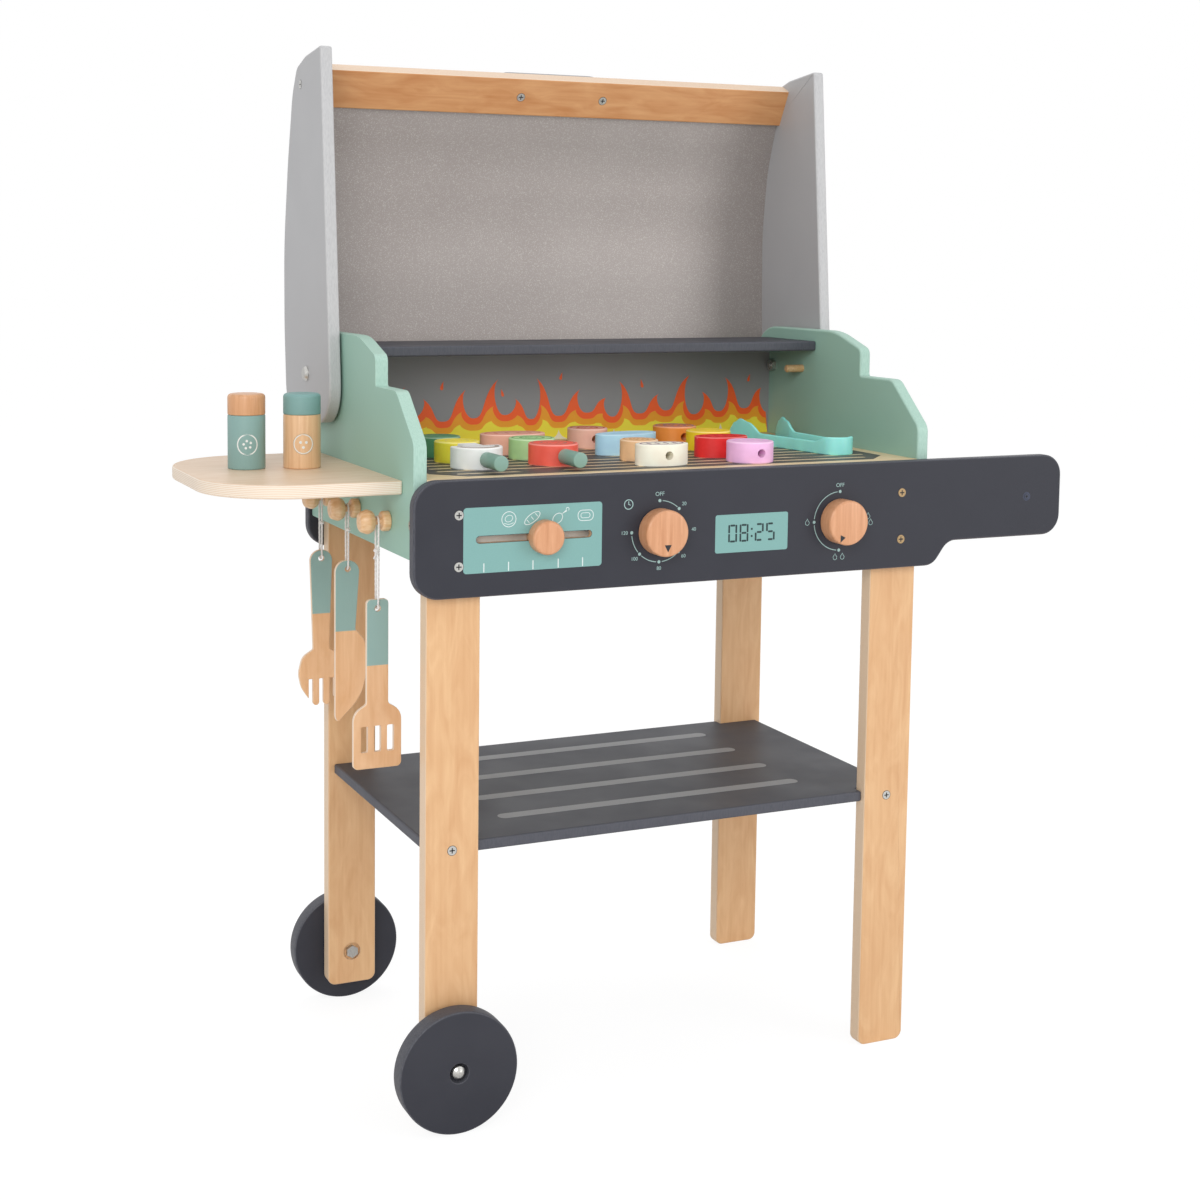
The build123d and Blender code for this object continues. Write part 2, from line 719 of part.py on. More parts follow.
def cord_points(name):
    """Route of the loop in the YZ plane: from the knot up, over the peg, down, through the hole
    and back up to the knot."""
    y = hook_ys[name]
    over = hook_neck_radius + cord_radius + 0.2
    under = utensil_thick / 2 + cord_radius + 0.3
    top_z = hook_z + over
    low_z = hole_zs[name] - 0.5
    knot_z = knot_zs[name]
    knot_y = y - over + 0.1
    return [(hang_x, knot_y, knot_z + knot_radius - 0.5), (hang_x, y - over, top_z), (hang_x, y + over, top_z),
            (hang_x, y + under, low_z), (hang_x, y - under, low_z), (hang_x, knot_y, knot_z - knot_radius + 0.5)]


def cord(name):
    """Tube round the peg's neck and through the utensil's hole, with its knot."""
    points = cord_points(name)
    over = hook_neck_radius + cord_radius + 0.1
    under = utensil_thick / 2 + cord_radius + 0.2
    path = FilletPolyline(*points, radius=[over, over, under, under])
    start = Plane(origin=path @ 0, z_dir=path % 0)
    tube = sweep(start * Circle(cord_radius), path=path)
    area = math.pi * cord_radius ** 2
    print(name, "cord length", round(path.length, 1), "volume ratio",
          round(tube.volume / (path.length * area), 3), "radii", over, under)
    knot = Pos(hang_x, points[0][1], knot_zs[name]) * Sphere(knot_radius)
    return tube + knot


# Shakers

def shaker_body(name):
    x, y = shaker_places[name]
    profile = [(0, 0), (0, shaker_radius - 1), (1, shaker_radius), (shaker_body_height, shaker_radius),
               (shaker_body_height, 0)]
    return turned(profile, (x, y, table_top), (0, 0, 1))


def shaker_cap(name):
    x, y = shaker_places[name]
    height = shaker_cap_height
    profile = [(0, 0), (0, shaker_radius - 0.6), (0.6, shaker_radius), (height - 5, shaker_radius),
               (height - 2.5, shaker_radius - 0.8), (height - 0.9, shaker_radius - 2.6),
               (height, shaker_radius - 5.5), (height, 0)]
    return turned(profile, (x, y, table_top + shaker_body_height), (0, 0, 1))


# Play food: flat shapes lying on the cooktop, each bored across for a skewer

def food(sketch, x, y, thick=food_thick, turn=0):
    solid = board_flat(Pos(x, y) * Rot(0, 0, turn) * sketch, panel_top, thick)
    return solid - rod((x, y - 60, panel_top + food_thick / 2), (0, 1, 0), food_bore, 120)


def mushroom():
    cap = Circle(24) & rectangle(-30, 30, -4, 30)
    return cap + rectangle(-9, 9, -24, 0)


food_columns = {"left": 73.0, "middle": 150.0, "centre": 243.0, "right": 334.0}


def skewered_food():
    left, middle = food_columns["left"], food_columns["middle"]
    return all_of([food(mushroom(), left, 70, turn=180), food(Circle(21), left, 118),
                   food(Circle(20), left, 164), food(Circle(23), middle, 72), food(Circle(22), middle, 121),
                   food(Ellipse(33, 20), middle, 168)])


def loose_food():
    centre, right = food_columns["centre"], food_columns["right"]
    return all_of([food(Ellipse(26, 16), centre, 36), food(Circle(18), centre - 3, 76),
                   food(Ellipse(35, 17), centre + 12, 134, turn=12), food(Circle(20), centre, 196),
                   food(Circle(22), right, 32), food(Ellipse(27, 19), right - 4, 80),
                   food(Circle(22), right + 12, 134), food(Circle(22), right + 4, 190)])


def food_skewers():
    """Dowel grip with a thinner rod that runs through the pieces of its column."""
    solids = []
    grip_end = {"left": 10.0, "middle": 12.0}
    z = panel_top + food_thick / 2
    for column, y in grip_end.items():
        profile = [(0, 0), (0, skewer_radius - 1), (1, skewer_radius), (skewer_grip, skewer_radius),
                   (skewer_grip, skewer_rod_radius), (skewer_length - 8, skewer_rod_radius),
                   (skewer_length, 0.8), (skewer_length, 0)]
        solids.append(turned(profile, (food_columns[column], y, z), (0, 1, 0)))
    return all_of(solids)


def tongs():
    """Spring tongs lying on their side: a bent strap with two flat paddle ends."""
    spread, bend, back, front = 22.0, 14.0, 62.0, -58.0
    place = Pos(frame_width - tongs_inset, tongs_y) * Rot(0, 0, tongs_turn)
    strap = FilletPolyline((-spread, back), (-bend, front), (bend, front), (spread, back),
                           radius=[bend - 1, bend - 1])
    solid = board_flat(place * trace(strap, tongs_thick), panel_top, tongs_width)
    for side in (-1, 1):
        paddle = rectangle(-tongs_thick / 2, tongs_thick / 2, -2, 36)
        paddle = place * Pos(side * spread, back) * Rot(0, 0, -side * 12) * paddle
        solid += board_flat(paddle, panel_top, tongs_paddle_width)
    return solid


def build_parts():
    parts = {
        "leg_front_left": left_leg(0, -1),
        "leg_front_right": leg(right_leg_x, 0, 0),
        "leg_rear_left": left_leg(rear_leg_y, 1),
        "leg_rear_right": leg(right_leg_x, rear_leg_y, 0),
        "front_panel": front_panel(),
        "rear_panel": rear_panel(),
        "side_panel_left": side_panel_left(),
        "side_panel_right": side_panel(frame_width),
        "cooktop_board": cooktop_board(),
        "back_wall": back_wall(),
        "warming_shelf": warming_shelf(),
        "lower_shelf": lower_shelf(),
        "side_table": side_table(),
        "push_handle": push_handle(),
        "slider_backing": slider_backing(),
        "shelf_pegs": shelf_pegs(),
        "hook_pegs": hook_pegs(),
        "panel_screws": all_of(countersunk_screw(*place, screw_length) for place in panel_screw_places()),
        "handle_screws": all_of(countersunk_screw(*place, screw_length) for place in handle_screw_places()),
        "shelf_screws": all_of(countersunk_screw(*place, screw_length) for place in shelf_screw_places()),
        "table_screws": all_of(countersunk_screw(*place, screw_length + panel_thick)
                               for place in table_screw_places()),
        "side_screws": all_of(countersunk_screw(*place, screw_length) for place in side_screw_places()),
        "hood_side_left": hood_side(hood_inner_left - panel_thick, hood_inner_left),
        "hood_side_right": hood_side(hood_inner_right, hood_inner_right),
        "hood_sheet": hood_sheet(),
        "hood_rail": hood_rail(),
        "hood_grip": hood_grip(),
        "grip_screws": all_of(countersunk_screw(*place, grip_screw_length) for place in grip_screw_places()),
        "rail_screws": all_of(countersunk_screw(*place, rail_screw_length) for place in rail_screw_places()),
        "hood_pivot_bolts": hood_pivot_bolts(),
        "hood_pivot_nuts": hood_pivot_nuts(),
        "hood_spacers": hood_spacers(),
        "wheel_front": wheel("front"),
        "wheel_rear": wheel("rear"),
        "axle_bolts": axle_bolts(),
        "axle_washers": axle_washers(),
        "axle_cap_nuts": axle_cap_nuts(),
        "timer_knob": knob(timer_x),
        "timer_spindle": knob_spindle(timer_x),
        "heat_knob": knob(heat_x),
        "heat_spindle": knob_spindle(heat_x),
        "slider_knob": slider_knob(),
        "slider_shoe": slider_shoe(),
        "spatula": spatula(),
        "knife": knife(),
        "fork": fork(),
        "spatula_cord": cord("spatula"),
        "knife_cord": cord("knife"),
        "fork_cord": cord("fork"),
        "pepper_body": shaker_body("pepper"),
        "pepper_cap": shaker_cap("pepper"),
        "salt_body": shaker_body("salt"),
        "salt_cap": shaker_cap("salt"),
        "skewered_food": skewered_food(),
        "loose_food": loose_food(),
        "food_skewers": food_skewers(),
        "tongs": tongs(),
    }
    return parts


def write_parts():
    """Move the origin to the middle of the whole grill's underside and write each part."""
    os.makedirs("parts", exist_ok=True)
    parts = build_parts()
    box = all_of(parts.values()).bounding_box()
    centre = box.center()
    print("whole size", [round(v, 1) for v in box.size], "moved by", round(-centre.X, 3), round(-centre.Y, 3))
    for name, solid in parts.items():
        export_step(Pos(-centre.X, -centre.Y, -box.min.Z) * solid, f"parts/{name}.step")


write_parts()
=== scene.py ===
import bpy
import bmesh
import math
from mathutils import Matrix, Vector


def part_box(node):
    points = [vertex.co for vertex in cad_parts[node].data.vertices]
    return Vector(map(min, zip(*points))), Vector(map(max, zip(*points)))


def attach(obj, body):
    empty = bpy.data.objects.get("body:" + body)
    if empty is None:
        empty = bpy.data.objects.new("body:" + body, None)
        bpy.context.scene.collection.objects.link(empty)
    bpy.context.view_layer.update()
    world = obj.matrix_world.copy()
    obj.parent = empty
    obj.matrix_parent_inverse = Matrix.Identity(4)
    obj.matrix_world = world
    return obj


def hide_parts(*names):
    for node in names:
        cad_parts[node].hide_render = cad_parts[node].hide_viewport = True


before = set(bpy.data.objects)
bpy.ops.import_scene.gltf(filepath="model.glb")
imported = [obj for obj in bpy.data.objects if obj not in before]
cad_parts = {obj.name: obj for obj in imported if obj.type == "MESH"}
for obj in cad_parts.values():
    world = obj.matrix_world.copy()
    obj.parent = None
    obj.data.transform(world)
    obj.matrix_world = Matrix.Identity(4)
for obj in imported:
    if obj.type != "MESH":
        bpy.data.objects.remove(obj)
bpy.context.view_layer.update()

# Everything below is written in millimetres from the front left leg's outer front corner, on the floor
cornerX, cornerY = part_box("leg_front_left")[0][:2]


def at(x, y, z):
    return Vector((cornerX + x / 1000, cornerY + y / 1000, z / 1000))


# Faces that prints, screws and turned pieces sit on
panelFace, rearFace, wallFace = -12, 309, 277
shelfTop, tableTop, cooktopTop, foodMiddle, foodTop = 252.6, 570.5, 574, 584, 594
runningGap = 0.3


def placed(name, data):
    item = bpy.data.objects.new(name, data)
    bpy.context.scene.collection.objects.link(item)
    return item


def onFront(x, z, out):  # the front panel's face
    return at(x, panelFace - out, z)


def onTop(level):  # a level face looking up
    return lambda x, y, out: at(x, y, level + out)


# Camera

cameraPlace = {"x": -537.6, "y": -1455.02, "z": 767.23, "yaw": -23.27, "pitch": -5.21, "roll": 0.51,
               "lens": 55.06, "shiftX": 0.06457, "shiftY": -0.15}


def makeCamera(place):
    yaw, pitch, roll = (math.radians(place[key]) for key in ("yaw", "pitch", "roll"))
    turn = Matrix.Rotation(yaw, 4, "Z") @ Matrix.Rotation(math.pi / 2 + pitch, 4, "X")
    data = bpy.data.cameras.new("camera")
    data.lens = place["lens"]
    data.sensor_width = 36
    data.shift_x = place["shiftX"]
    data.shift_y = place["shiftY"]
    data.clip_end = 50
    camera = placed("camera", data)
    spot = Matrix.Translation(at(place["x"], place["y"], place["z"]))
    camera.matrix_world = spot @ turn @ Matrix.Rotation(roll, 4, "Z")
    bpy.context.scene.camera = camera


makeCamera(cameraPlace)
bpy.context.scene.view_settings.view_transform = "Standard"
print("camera placed")


# Material helpers

def hexColour(code):
    parts = [int(code[i:i + 2], 16) / 255 for i in (1, 3, 5)]
    return tuple(c / 12.92 if c <= 0.04045 else ((c + 0.055) / 1.055) ** 2.4 for c in parts) + (1,)


def addNode(tree, kind, inputs=(), **settings):
    node = tree.nodes.new(kind)
    for key, value in settings.items():
        setattr(node, key, value)
    for key, value in dict(inputs).items():
        if isinstance(value, bpy.types.NodeSocket):
            tree.links.new(value, node.inputs[key])
        else:
            node.inputs[key].default_value = value
    return node


def emptyTree(holder):
    holder.use_nodes = True
    holder.node_tree.nodes.clear()
    return holder.node_tree


def startMaterial(name, shader):
    material = bpy.data.materials.new(name)
    tree = emptyTree(material)
    main = addNode(tree, "ShaderNodeBsdfPrincipled", shader)
    addNode(tree, "ShaderNodeOutputMaterial", {"Surface": main.outputs[0]})
    return material, tree, main


def maths(tree, operation, *values):
    return addNode(tree, "ShaderNodeMath", enumerate(values), operation=operation).outputs[0]


def surface(tree):
    coordinate = addNode(tree, "ShaderNodeTexCoord")
    return coordinate.outputs["Object"], coordinate.outputs["Normal"]


def stretched(grain, across, length):
    return [length if axis == grain else across for axis in "xyz"]


def tinted(colour, share, lift=0):
    return tuple(min(1, c * share + lift) for c in hexColour(colour)[:3]) + (1,)


def noise(tree, where, stretch, detail=3, distortion=0):
    # Noise whose features are as many millimetres long in X, Y and Z as stretch says.
    scale = [1000 / size for size in stretch]
    place = addNode(tree, "ShaderNodeMapping", {"Vector": where, "Scale": scale})
    return addNode(tree, "ShaderNodeTexNoise", {"Vector": place.outputs[0], "Scale": 1, "Detail": detail,
                                                "Distortion": distortion}).outputs["Fac"]


def spread(tree, value, low, high, toLow=0, toHigh=1):
    return addNode(tree, "ShaderNodeMapRange", {"Value": value, "From Min": low, "From Max": high,
                                                "To Min": toLow, "To Max": toHigh}).outputs[0]


def blend(tree, factor, first, second):
    first, second = (hexColour(c) if isinstance(c, str) else c for c in (first, second))
    return addNode(tree, "ShaderNodeMix", {0: factor, 6: first, 7: second}, data_type="RGBA").outputs[2]


def facing(tree, where, direction):
    # How squarely the surface looks along or against a direction, from 0 to 1.
    dot = addNode(tree, "ShaderNodeVectorMath", {0: where, 1: direction}, operation="DOT_PRODUCT")
    return maths(tree, "ABSOLUTE", dot.outputs["Value"])


def ended(material, main, links, height, depth):
    # Joins values to the shader's inputs and adds a relief of so many millimetres.
    tree = material.node_tree
    bump = addNode(tree, "ShaderNodeBump", {"Height": height, "Strength": 1, "Distance": depth / 1000})
    for key, value in {**links, "Normal": bump.outputs[0]}.items():
        tree.links.new(value, main.inputs[key])
    return material


def grainFinish(name, shader, first, second, stretch, detail, low, high, depth, most=1):
    # One colour that turns into another over the grain of a noise, which also gives the relief.
    material, tree, main = startMaterial(name, shader)
    grain = noise(tree, surface(tree)[0], stretch, detail)
    colour = blend(tree, spread(tree, grain, low, high, 0, most), first, second)
    return ended(material, main, {"Base Color": colour}, grain, depth)


def plywoodFinish(name, face, dark, edge, ply, grain="z", thick=(0, 1, 0), cut=None):
    # Lacquered birch plywood: a pale face with soft clouds along the grain, and layered edges. cut is
    # (height, paint): above that height the board is dipped in paint.
    material, tree, main = startMaterial(name, {"Roughness": 0.42, "IOR": 1.5})
    where, normal = surface(tree)
    cloud = noise(tree, where, stretched(grain, 15, 62), 3, 1.4)
    streak = noise(tree, where, stretched(grain, 2.6, 110), 4, 0.3)
    pore = noise(tree, where, stretched(grain, 0.7, 9), 1)
    figure = maths(tree, "MULTIPLY_ADD", streak, 0.4, cloud)
    colour = blend(tree, spread(tree, figure, 0.48, 1.0), face, dark)
    colour = blend(tree, spread(tree, pore, 0.62, 0.75, 0, 0.2), colour, dark)
    turns = [c * 2 * math.pi * 1000 / ply for c in thick]
    layer = addNode(tree, "ShaderNodeVectorMath", {0: where, 1: turns}, operation="DOT_PRODUCT")
    band = maths(tree, "SINE", maths(tree, "MULTIPLY_ADD", streak, 0.9, layer.outputs["Value"]))
    edgeColour = blend(tree, spread(tree, band, 0.1, 0.6, 0, 0.8), edge, dark)
    onEdge = spread(tree, facing(tree, normal, thick), 0.82, 0.6)
    colour = blend(tree, onEdge, colour, edgeColour)
    if cut:
        height, paint = cut
        level = addNode(tree, "ShaderNodeSeparateXYZ", {0: where}).outputs[2]
        above = spread(tree, level, height - 0.0002, height + 0.0002)
        dipped = maths(tree, "MULTIPLY", above, maths(tree, "SUBTRACT", 1, onEdge))
        colour = blend(tree, dipped, colour, blend(tree, 0.06, paint, colour))
    return ended(material, main, {"Base Color": colour}, maths(tree, "ADD", pore, streak), 0.05)


def paintFinish(name, face, rim, thick=(0, 1, 0), under=None, roughness=0.5, gloss=0.5):
    # Sprayed paint on sanded board: even colour, a slight orange peel, and rounded edges and edge faces
    # painted lighter towards rim: a painted highlight, with a little sanding wear in it. under tints the
    # faces that look down: a painted shade under the lower shelf, a worn brownish bottom edge on the
    # panels.
    material, tree, main = startMaterial(name, {"IOR": 1.48, "Specular IOR Level": gloss})
    where, normal = surface(tree)
    patch = noise(tree, where, (55, 55, 55), 3)
    fibre = noise(tree, where, (0.9, 0.9, 5), 3)
    colour = blend(tree, spread(tree, patch, 0.3, 0.7, 0, 0.09), face, rim)
    # sanded is the edge mask: the lighter edges are a painted highlight, broken up by the fibre noise as
    # wear.
    sanded = maths(tree, "MULTIPLY", spread(tree, facing(tree, normal, thick), 0.985, 0.8),
                   spread(tree, fibre, 0.3, 0.6, 0.35, 1))
    colour = blend(tree, sanded, colour, rim)
    if under:
        up = addNode(tree, "ShaderNodeSeparateXYZ", {0: normal}).outputs[2]
        colour = blend(tree, spread(tree, up, -0.3, -0.9, 0, 0.8), colour, under)
    rough = spread(tree, patch, 0.3, 0.7, roughness - 0.05, roughness + 0.06)
    peel = noise(tree, where, (1.6, 1.6, 1.6), 2)
    return ended(material, main, {"Base Color": colour, "Roughness": rough}, peel, 0.045)


def beechFinish(name, face, dark, grain="z"):
    # Turned beech under clear lacquer: warm, with short dark ray flecks and faint growth lines.
    material, tree, main = startMaterial(name, {"Roughness": 0.4, "IOR": 1.5, "Coat Weight": 0.15,
                                                "Coat Roughness": 0.25})
    where = surface(tree)[0]
    ring = noise(tree, where, stretched(grain, 3.2, 70), 4, 0.6)
    fleck = noise(tree, where, stretched(grain, 0.55, 5), 1)
    colour = blend(tree, spread(tree, ring, 0.3, 0.72), face, dark)
    colour = blend(tree, spread(tree, fleck, 0.6, 0.72, 0, 0.45), colour, dark)
    return ended(material, main, {"Base Color": colour}, fleck, 0.04)


def inkFinish(name, colour, grain=0.25, roughness=0.5):
    # Ink or thin paint: one flat colour that thins a little over the wood's grain.
    return grainFinish(name, {"Roughness": roughness, "IOR": 1.46}, colour, tinted(colour, 1.18, 0.01),
                       (1.2, 1.2, 1.2), 3, 0.35, 0.75, 0.02, grain)


def metalFinish(name, colour, roughness):
    # Plated steel: neutral and glossy, broken by fine handling marks.
    material, tree, main = startMaterial(name, {"Metallic": 1, "Base Color": hexColour(colour)})
    mark = noise(tree, surface(tree)[0], (0.8, 0.8, 2.4), 4)
    rough = spread(tree, mark, 0.3, 0.7, roughness - 0.08, roughness + 0.12)
    return ended(material, main, {"Roughness": rough}, mark, 0.02)


def sheetFinish(name, face, fleckColour):
    # Satin metallic lacquer on bent board: a soft sheen with fine bright flakes, drawn 0.6 mm wide so
    # that they show.
    material, tree, main = startMaterial(name, {"Metallic": 0.3, "Roughness": 0.38})
    where = surface(tree)[0]
    place = addNode(tree, "ShaderNodeMapping", {"Vector": where, "Scale": (1700, 1700, 1700)})
    cell = addNode(tree, "ShaderNodeTexVoronoi", {"Vector": place.outputs[0], "Scale": 1})
    chance = addNode(tree, "ShaderNodeSeparateColor", {0: cell.outputs["Color"]}).outputs[0]
    patch = noise(tree, where, (90, 90, 90), 2)
    colour = blend(tree, spread(tree, patch, 0.3, 0.7, 0, 0.06), face, fleckColour)
    colour = blend(tree, spread(tree, chance, 0.8, 0.98, 0, 0.46), colour, fleckColour)
    return ended(material, main, {"Base Color": colour}, chance, 0.03)


def plasticFinish(name, colour):
    # Moulded polypropylene: smooth and faintly milky, with a soft highlight.
    shader = {"Roughness": 0.34, "IOR": 1.49, "Subsurface Weight": 0.08, "Subsurface Scale": 0.004}
    return grainFinish(name, shader, colour, tinted(colour, 1.15), (30, 30, 30), 2, 0.3, 0.7, 0.1)


def cottonFinish(name, colour, shade):
    # Twisted cotton: matt, with soft fibres that catch the light.
    shader = {"Roughness": 0.85, "Sheen Weight": 0.3, "Sheen Roughness": 0.5}
    return grainFinish(name, shader, colour, shade, (0.35, 0.35, 0.9), 3, 0.3, 0.7, 0.08)


# Shape helpers

flatArea = 0.0003  # faces larger than this, in square metres, are flat board faces


def settle(mesh, angle=35):
    for polygon in mesh.polygons:
        polygon.use_smooth = True
    mesh.set_sharp_from_angle(angle=math.radians(angle))


def addPiece(name, mesh, material, body, slot, replaced=()):
    if material:
        mesh.materials.clear()
        mesh.materials.append(material)
    piece = placed(name, mesh)
    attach(piece, body)
    if replaced:
        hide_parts(*replaced)
    return piece


def meshOf(bm, name):
    mesh = bpy.data.meshes.new(name)
    bm.to_mesh(mesh)
    bm.free()
    return mesh


def cleanMesh(bm, name):
    bmesh.ops.remove_doubles(bm, verts=bm.verts, dist=1e-6)
    bmesh.ops.recalc_face_normals(bm, faces=bm.faces)
    return meshOf(bm, name)


def skinned(name, bm, rings, angle):
    # Closed skin over equal rings of points, capped at both ends.
    for i in range(len(rings) - 1):
        for j in range(len(rings[0])):
            bm.faces.new((rings[i][j - 1], rings[i][j], rings[i + 1][j], rings[i + 1][j - 1]))
    bm.faces.new(rings[0])
    bm.faces.new(rings[-1][::-1])
    mesh = cleanMesh(bm, name)
    settle(mesh, angle)
    return mesh


def evaluatedMesh(piece):
    bpy.context.view_layer.update()
    mesh = bpy.data.meshes.new_from_object(piece.evaluated_get(bpy.context.evaluated_depsgraph_get()))
    bpy.data.objects.remove(piece)
    return mesh


def roundCorners(corners, steps=5):
    # Closed or open run of (x, y, radius) corners with each corner turned into an arc.
    points = []
    for i, (x, y, radius) in enumerate(corners):
        here = Vector((x, y))
        before = Vector(corners[i - 1][:2]) - here
        after = Vector(corners[(i + 1) % len(corners)][:2]) - here
        if radius <= 0 or min(before.length, after.length) < 1e-6:
            points.append((x, y))
            continue
        half = before.angle(after) / 2
        cut = min(radius / math.tan(half), before.length * 0.499, after.length * 0.499)
        radius = cut * math.tan(half)
        middle = here + (before.normalized() + after.normalized()).normalized() * (radius / math.sin(half))
        start, end = (here + way.normalized() * cut - middle for way in (before, after))
        swing = start.angle_signed(end)
        for step in range(steps + 1):
            angle = -swing * step / steps
            turned = Vector((start.x * math.cos(angle) - start.y * math.sin(angle),
                             start.x * math.sin(angle) + start.y * math.cos(angle)))
            points.append(tuple(middle + turned))
    return points


def lathe(name, corners, start, axis, material, body, slot, replaced=(), steps=72):
    # Turned piece from (along, radius, rounding) corners in mm, along an axis from a start point.
    profile = roundCorners(corners)
    turn = Vector((0, 0, 1)).rotation_difference(Vector(axis)).to_matrix()
    bm = bmesh.new()
    rings = []
    for i in range(steps):
        angle = 2 * math.pi * i / steps
        points = [Vector((*around(0, 0, r, angle), d)) for d, r in profile]
        rings.append([bm.verts.new(start + turn @ point / 1000) for point in points])
    for i in range(steps):
        for j in range(len(profile) - 1):
            bm.faces.new((rings[i][j], rings[i - 1][j], rings[i - 1][j + 1], rings[i][j + 1]))
    mesh = cleanMesh(bm, name)
    settle(mesh, 40)
    return addPiece(name, mesh, material, body, slot, replaced)


def softened(name, node, radius, material, body, slot, share=0.9, part=None):
    # Copy of a CAD board whose outer edges are rounded, as sanding leaves them. Edges of small holes,
    # and of grooves shorter than share of the board, stay sharp.
    bm = bmesh.new()
    bm.from_mesh(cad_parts[node].data)
    bmesh.ops.remove_doubles(bm, verts=bm.verts, dist=2e-6)
    if part is not None:
        solids = groups(set(bm.faces), lambda face: (f for edge in face.edges for f in edge.link_faces))
        best = min(solids, key=lambda faces: (middleOf(faces) - part).length)
        bmesh.ops.delete(bm, geom=[f for f in bm.faces if f not in best], context="FACES")
    bmesh.ops.dissolve_limit(bm, angle_limit=math.radians(0.6), verts=bm.verts, edges=bm.edges)
    weight = bm.edges.layers.float.new("bevel_weight_edge")
    sharp = {e for e in bm.edges if len(e.link_faces) == 2 and e.calc_face_angle(0) > math.radians(35)}
    size = spanOf(bm.verts)
    for run in groups(sharp, lambda edge: (e for vert in edge.verts for e in vert.link_edges)):
        if spanOf({v for e in run for v in e.verts}) > share * size:
            for edge in run:
                edge[weight] = 1
    mesh = meshOf(bm, name)
    settle(mesh)
    piece = placed(name, mesh)
    bevel = piece.modifiers.new("sanded", "BEVEL")
    bevel.limit_method = "WEIGHT"
    bevel.width = radius / 1000
    bevel.segments = 3
    bevel.use_clamp_overlap = True
    mesh = evaluatedMesh(piece)
    broad = max(mesh.polygons, key=lambda polygon: polygon.area).normal.copy()
    for polygon in mesh.polygons:
        polygon.use_smooth = polygon.area < flatArea and abs(polygon.normal.dot(broad)) < 0.9999
    return addPiece(name, mesh, material, body, slot, (node,))


def groups(left, neighbours):
    # Splits the set left into groups whose members are joined through their neighbours.
    found = []
    while left:
        group, stack = set(), [left.pop()]
        while stack:
            item = stack.pop()
            group.add(item)
            for other in neighbours(item):
                if other in left:
                    left.remove(other)
                    stack.append(other)
        found.append(group)
    return found


def boxOf(verts):
    return [Vector([pick(v.co[i] for v in verts) for i in range(3)]) for pick in (min, max)]


def spanOf(verts):
    low, high = boxOf(verts)
    return (high - low).length


def middleOf(faces):
    low, high = boxOf({v for face in faces for v in face.verts})
    return (low + high) / 2


def around(x, y, radius, angle):
    return x + radius * math.cos(angle), y + radius * math.sin(angle)


def circle(x, y, rx, ry=None, turn=0, steps=40, start=0, end=360):
    ry = rx if ry is None else ry
    points, lean = [], math.radians(turn)
    for i in range(steps + (end - start < 360)):
        angle = math.radians(start + (end - start) * i / steps)
        u, v = rx * math.cos(angle), ry * math.sin(angle)
        points.append(around(*around(x, y, u, lean), v, lean + math.pi / 2))
    return points


def rounded(lowX, highX, lowY, highY, radius):
    return roundCorners([(lowX, lowY, radius), (highX, lowY, radius), (highX, highY, radius),
                         (lowX, highY, radius)])


def stroke(points, width, closed=False):
    # Outline loops of a line of that width.
    sides = ([], [])
    count = len(points)
    for i, point in enumerate(points):
        before = Vector(points[i - 1 if closed or i else 0])
        after = Vector(points[(i + 1) % count if closed else min(i + 1, count - 1)])
        ahead = (after - before).normalized()
        across = Vector((-ahead.y, ahead.x)) * width / 2
        sides[0].append(tuple(Vector(point) + across))
        sides[1].append(tuple(Vector(point) - across))
    return [sides[0], sides[1]] if closed else [sides[0] + sides[1][::-1]]


def printed(name, ink, place, outlines=(), texts=(), thick=0.12, body="cart", slot="dark_paint"):
    # Print as a thin closed layer: outlines are closed loops in mm, texts are (words, size, x, y).
    bm = bmesh.new()
    if outlines:
        curve = bpy.data.curves.new(name, "CURVE")
        curve.dimensions = "2D"
        curve.fill_mode = "BOTH"
        curve.extrude = thick / 2
        for loop in outlines:
            spline = curve.splines.new("POLY")
            spline.points.add(len(loop) - 1)
            for point, (x, y) in zip(spline.points, loop):
                point.co = (x, y, 0, 1)
            spline.use_cyclic_u = True
        bm.from_mesh(evaluatedMesh(placed(name, curve)))
    for words, size, x, y in texts:
        letters = bpy.data.curves.new(name, "FONT")
        letters.body = words
        letters.size = size
        letters.align_x = "CENTER"
        letters.align_y = "CENTER"
        letters.extrude = thick / 2
        mesh = evaluatedMesh(placed(name, letters))
        for vert in mesh.vertices:
            vert.co.x += x
            vert.co.y += y
        bm.from_mesh(mesh)
    for vert in bm.verts:
        vert.co = place(vert.co.x, vert.co.y, vert.co.z + thick / 2)
    mesh = cleanMesh(bm, name)
    return addPiece(name, mesh, ink, body, slot)


# Finishes

# The two edge colours here are lighter than their paints: a painted highlight on the boards' edges, with
# some wear in it.
mint, mintEdgeHighlight, dark, darkEdgeHighlight = "#97bdae", "#b0d0c3", "#303139", "#55565e"
legWood = plywoodFinish("legBirchPlywood", "#e4b98a", "#d4a273", "#ead6bc", 1.4)
topWood = plywoodFinish("tableBirchPlywood", "#ecd3bb", "#debf9f", "#f3e6d6", 1.5, "x", (0, 0, 1))
gridWood = plywoodFinish("cooktopBirchPlywood", "#ead6b2", "#d8bb8c", "#eeddc2", 1.3, "x", (0, 0, 1))
panelPaint = paintFinish("panelGreyPaint", dark, darkEdgeHighlight, under="#5c5250", gloss=0.3)
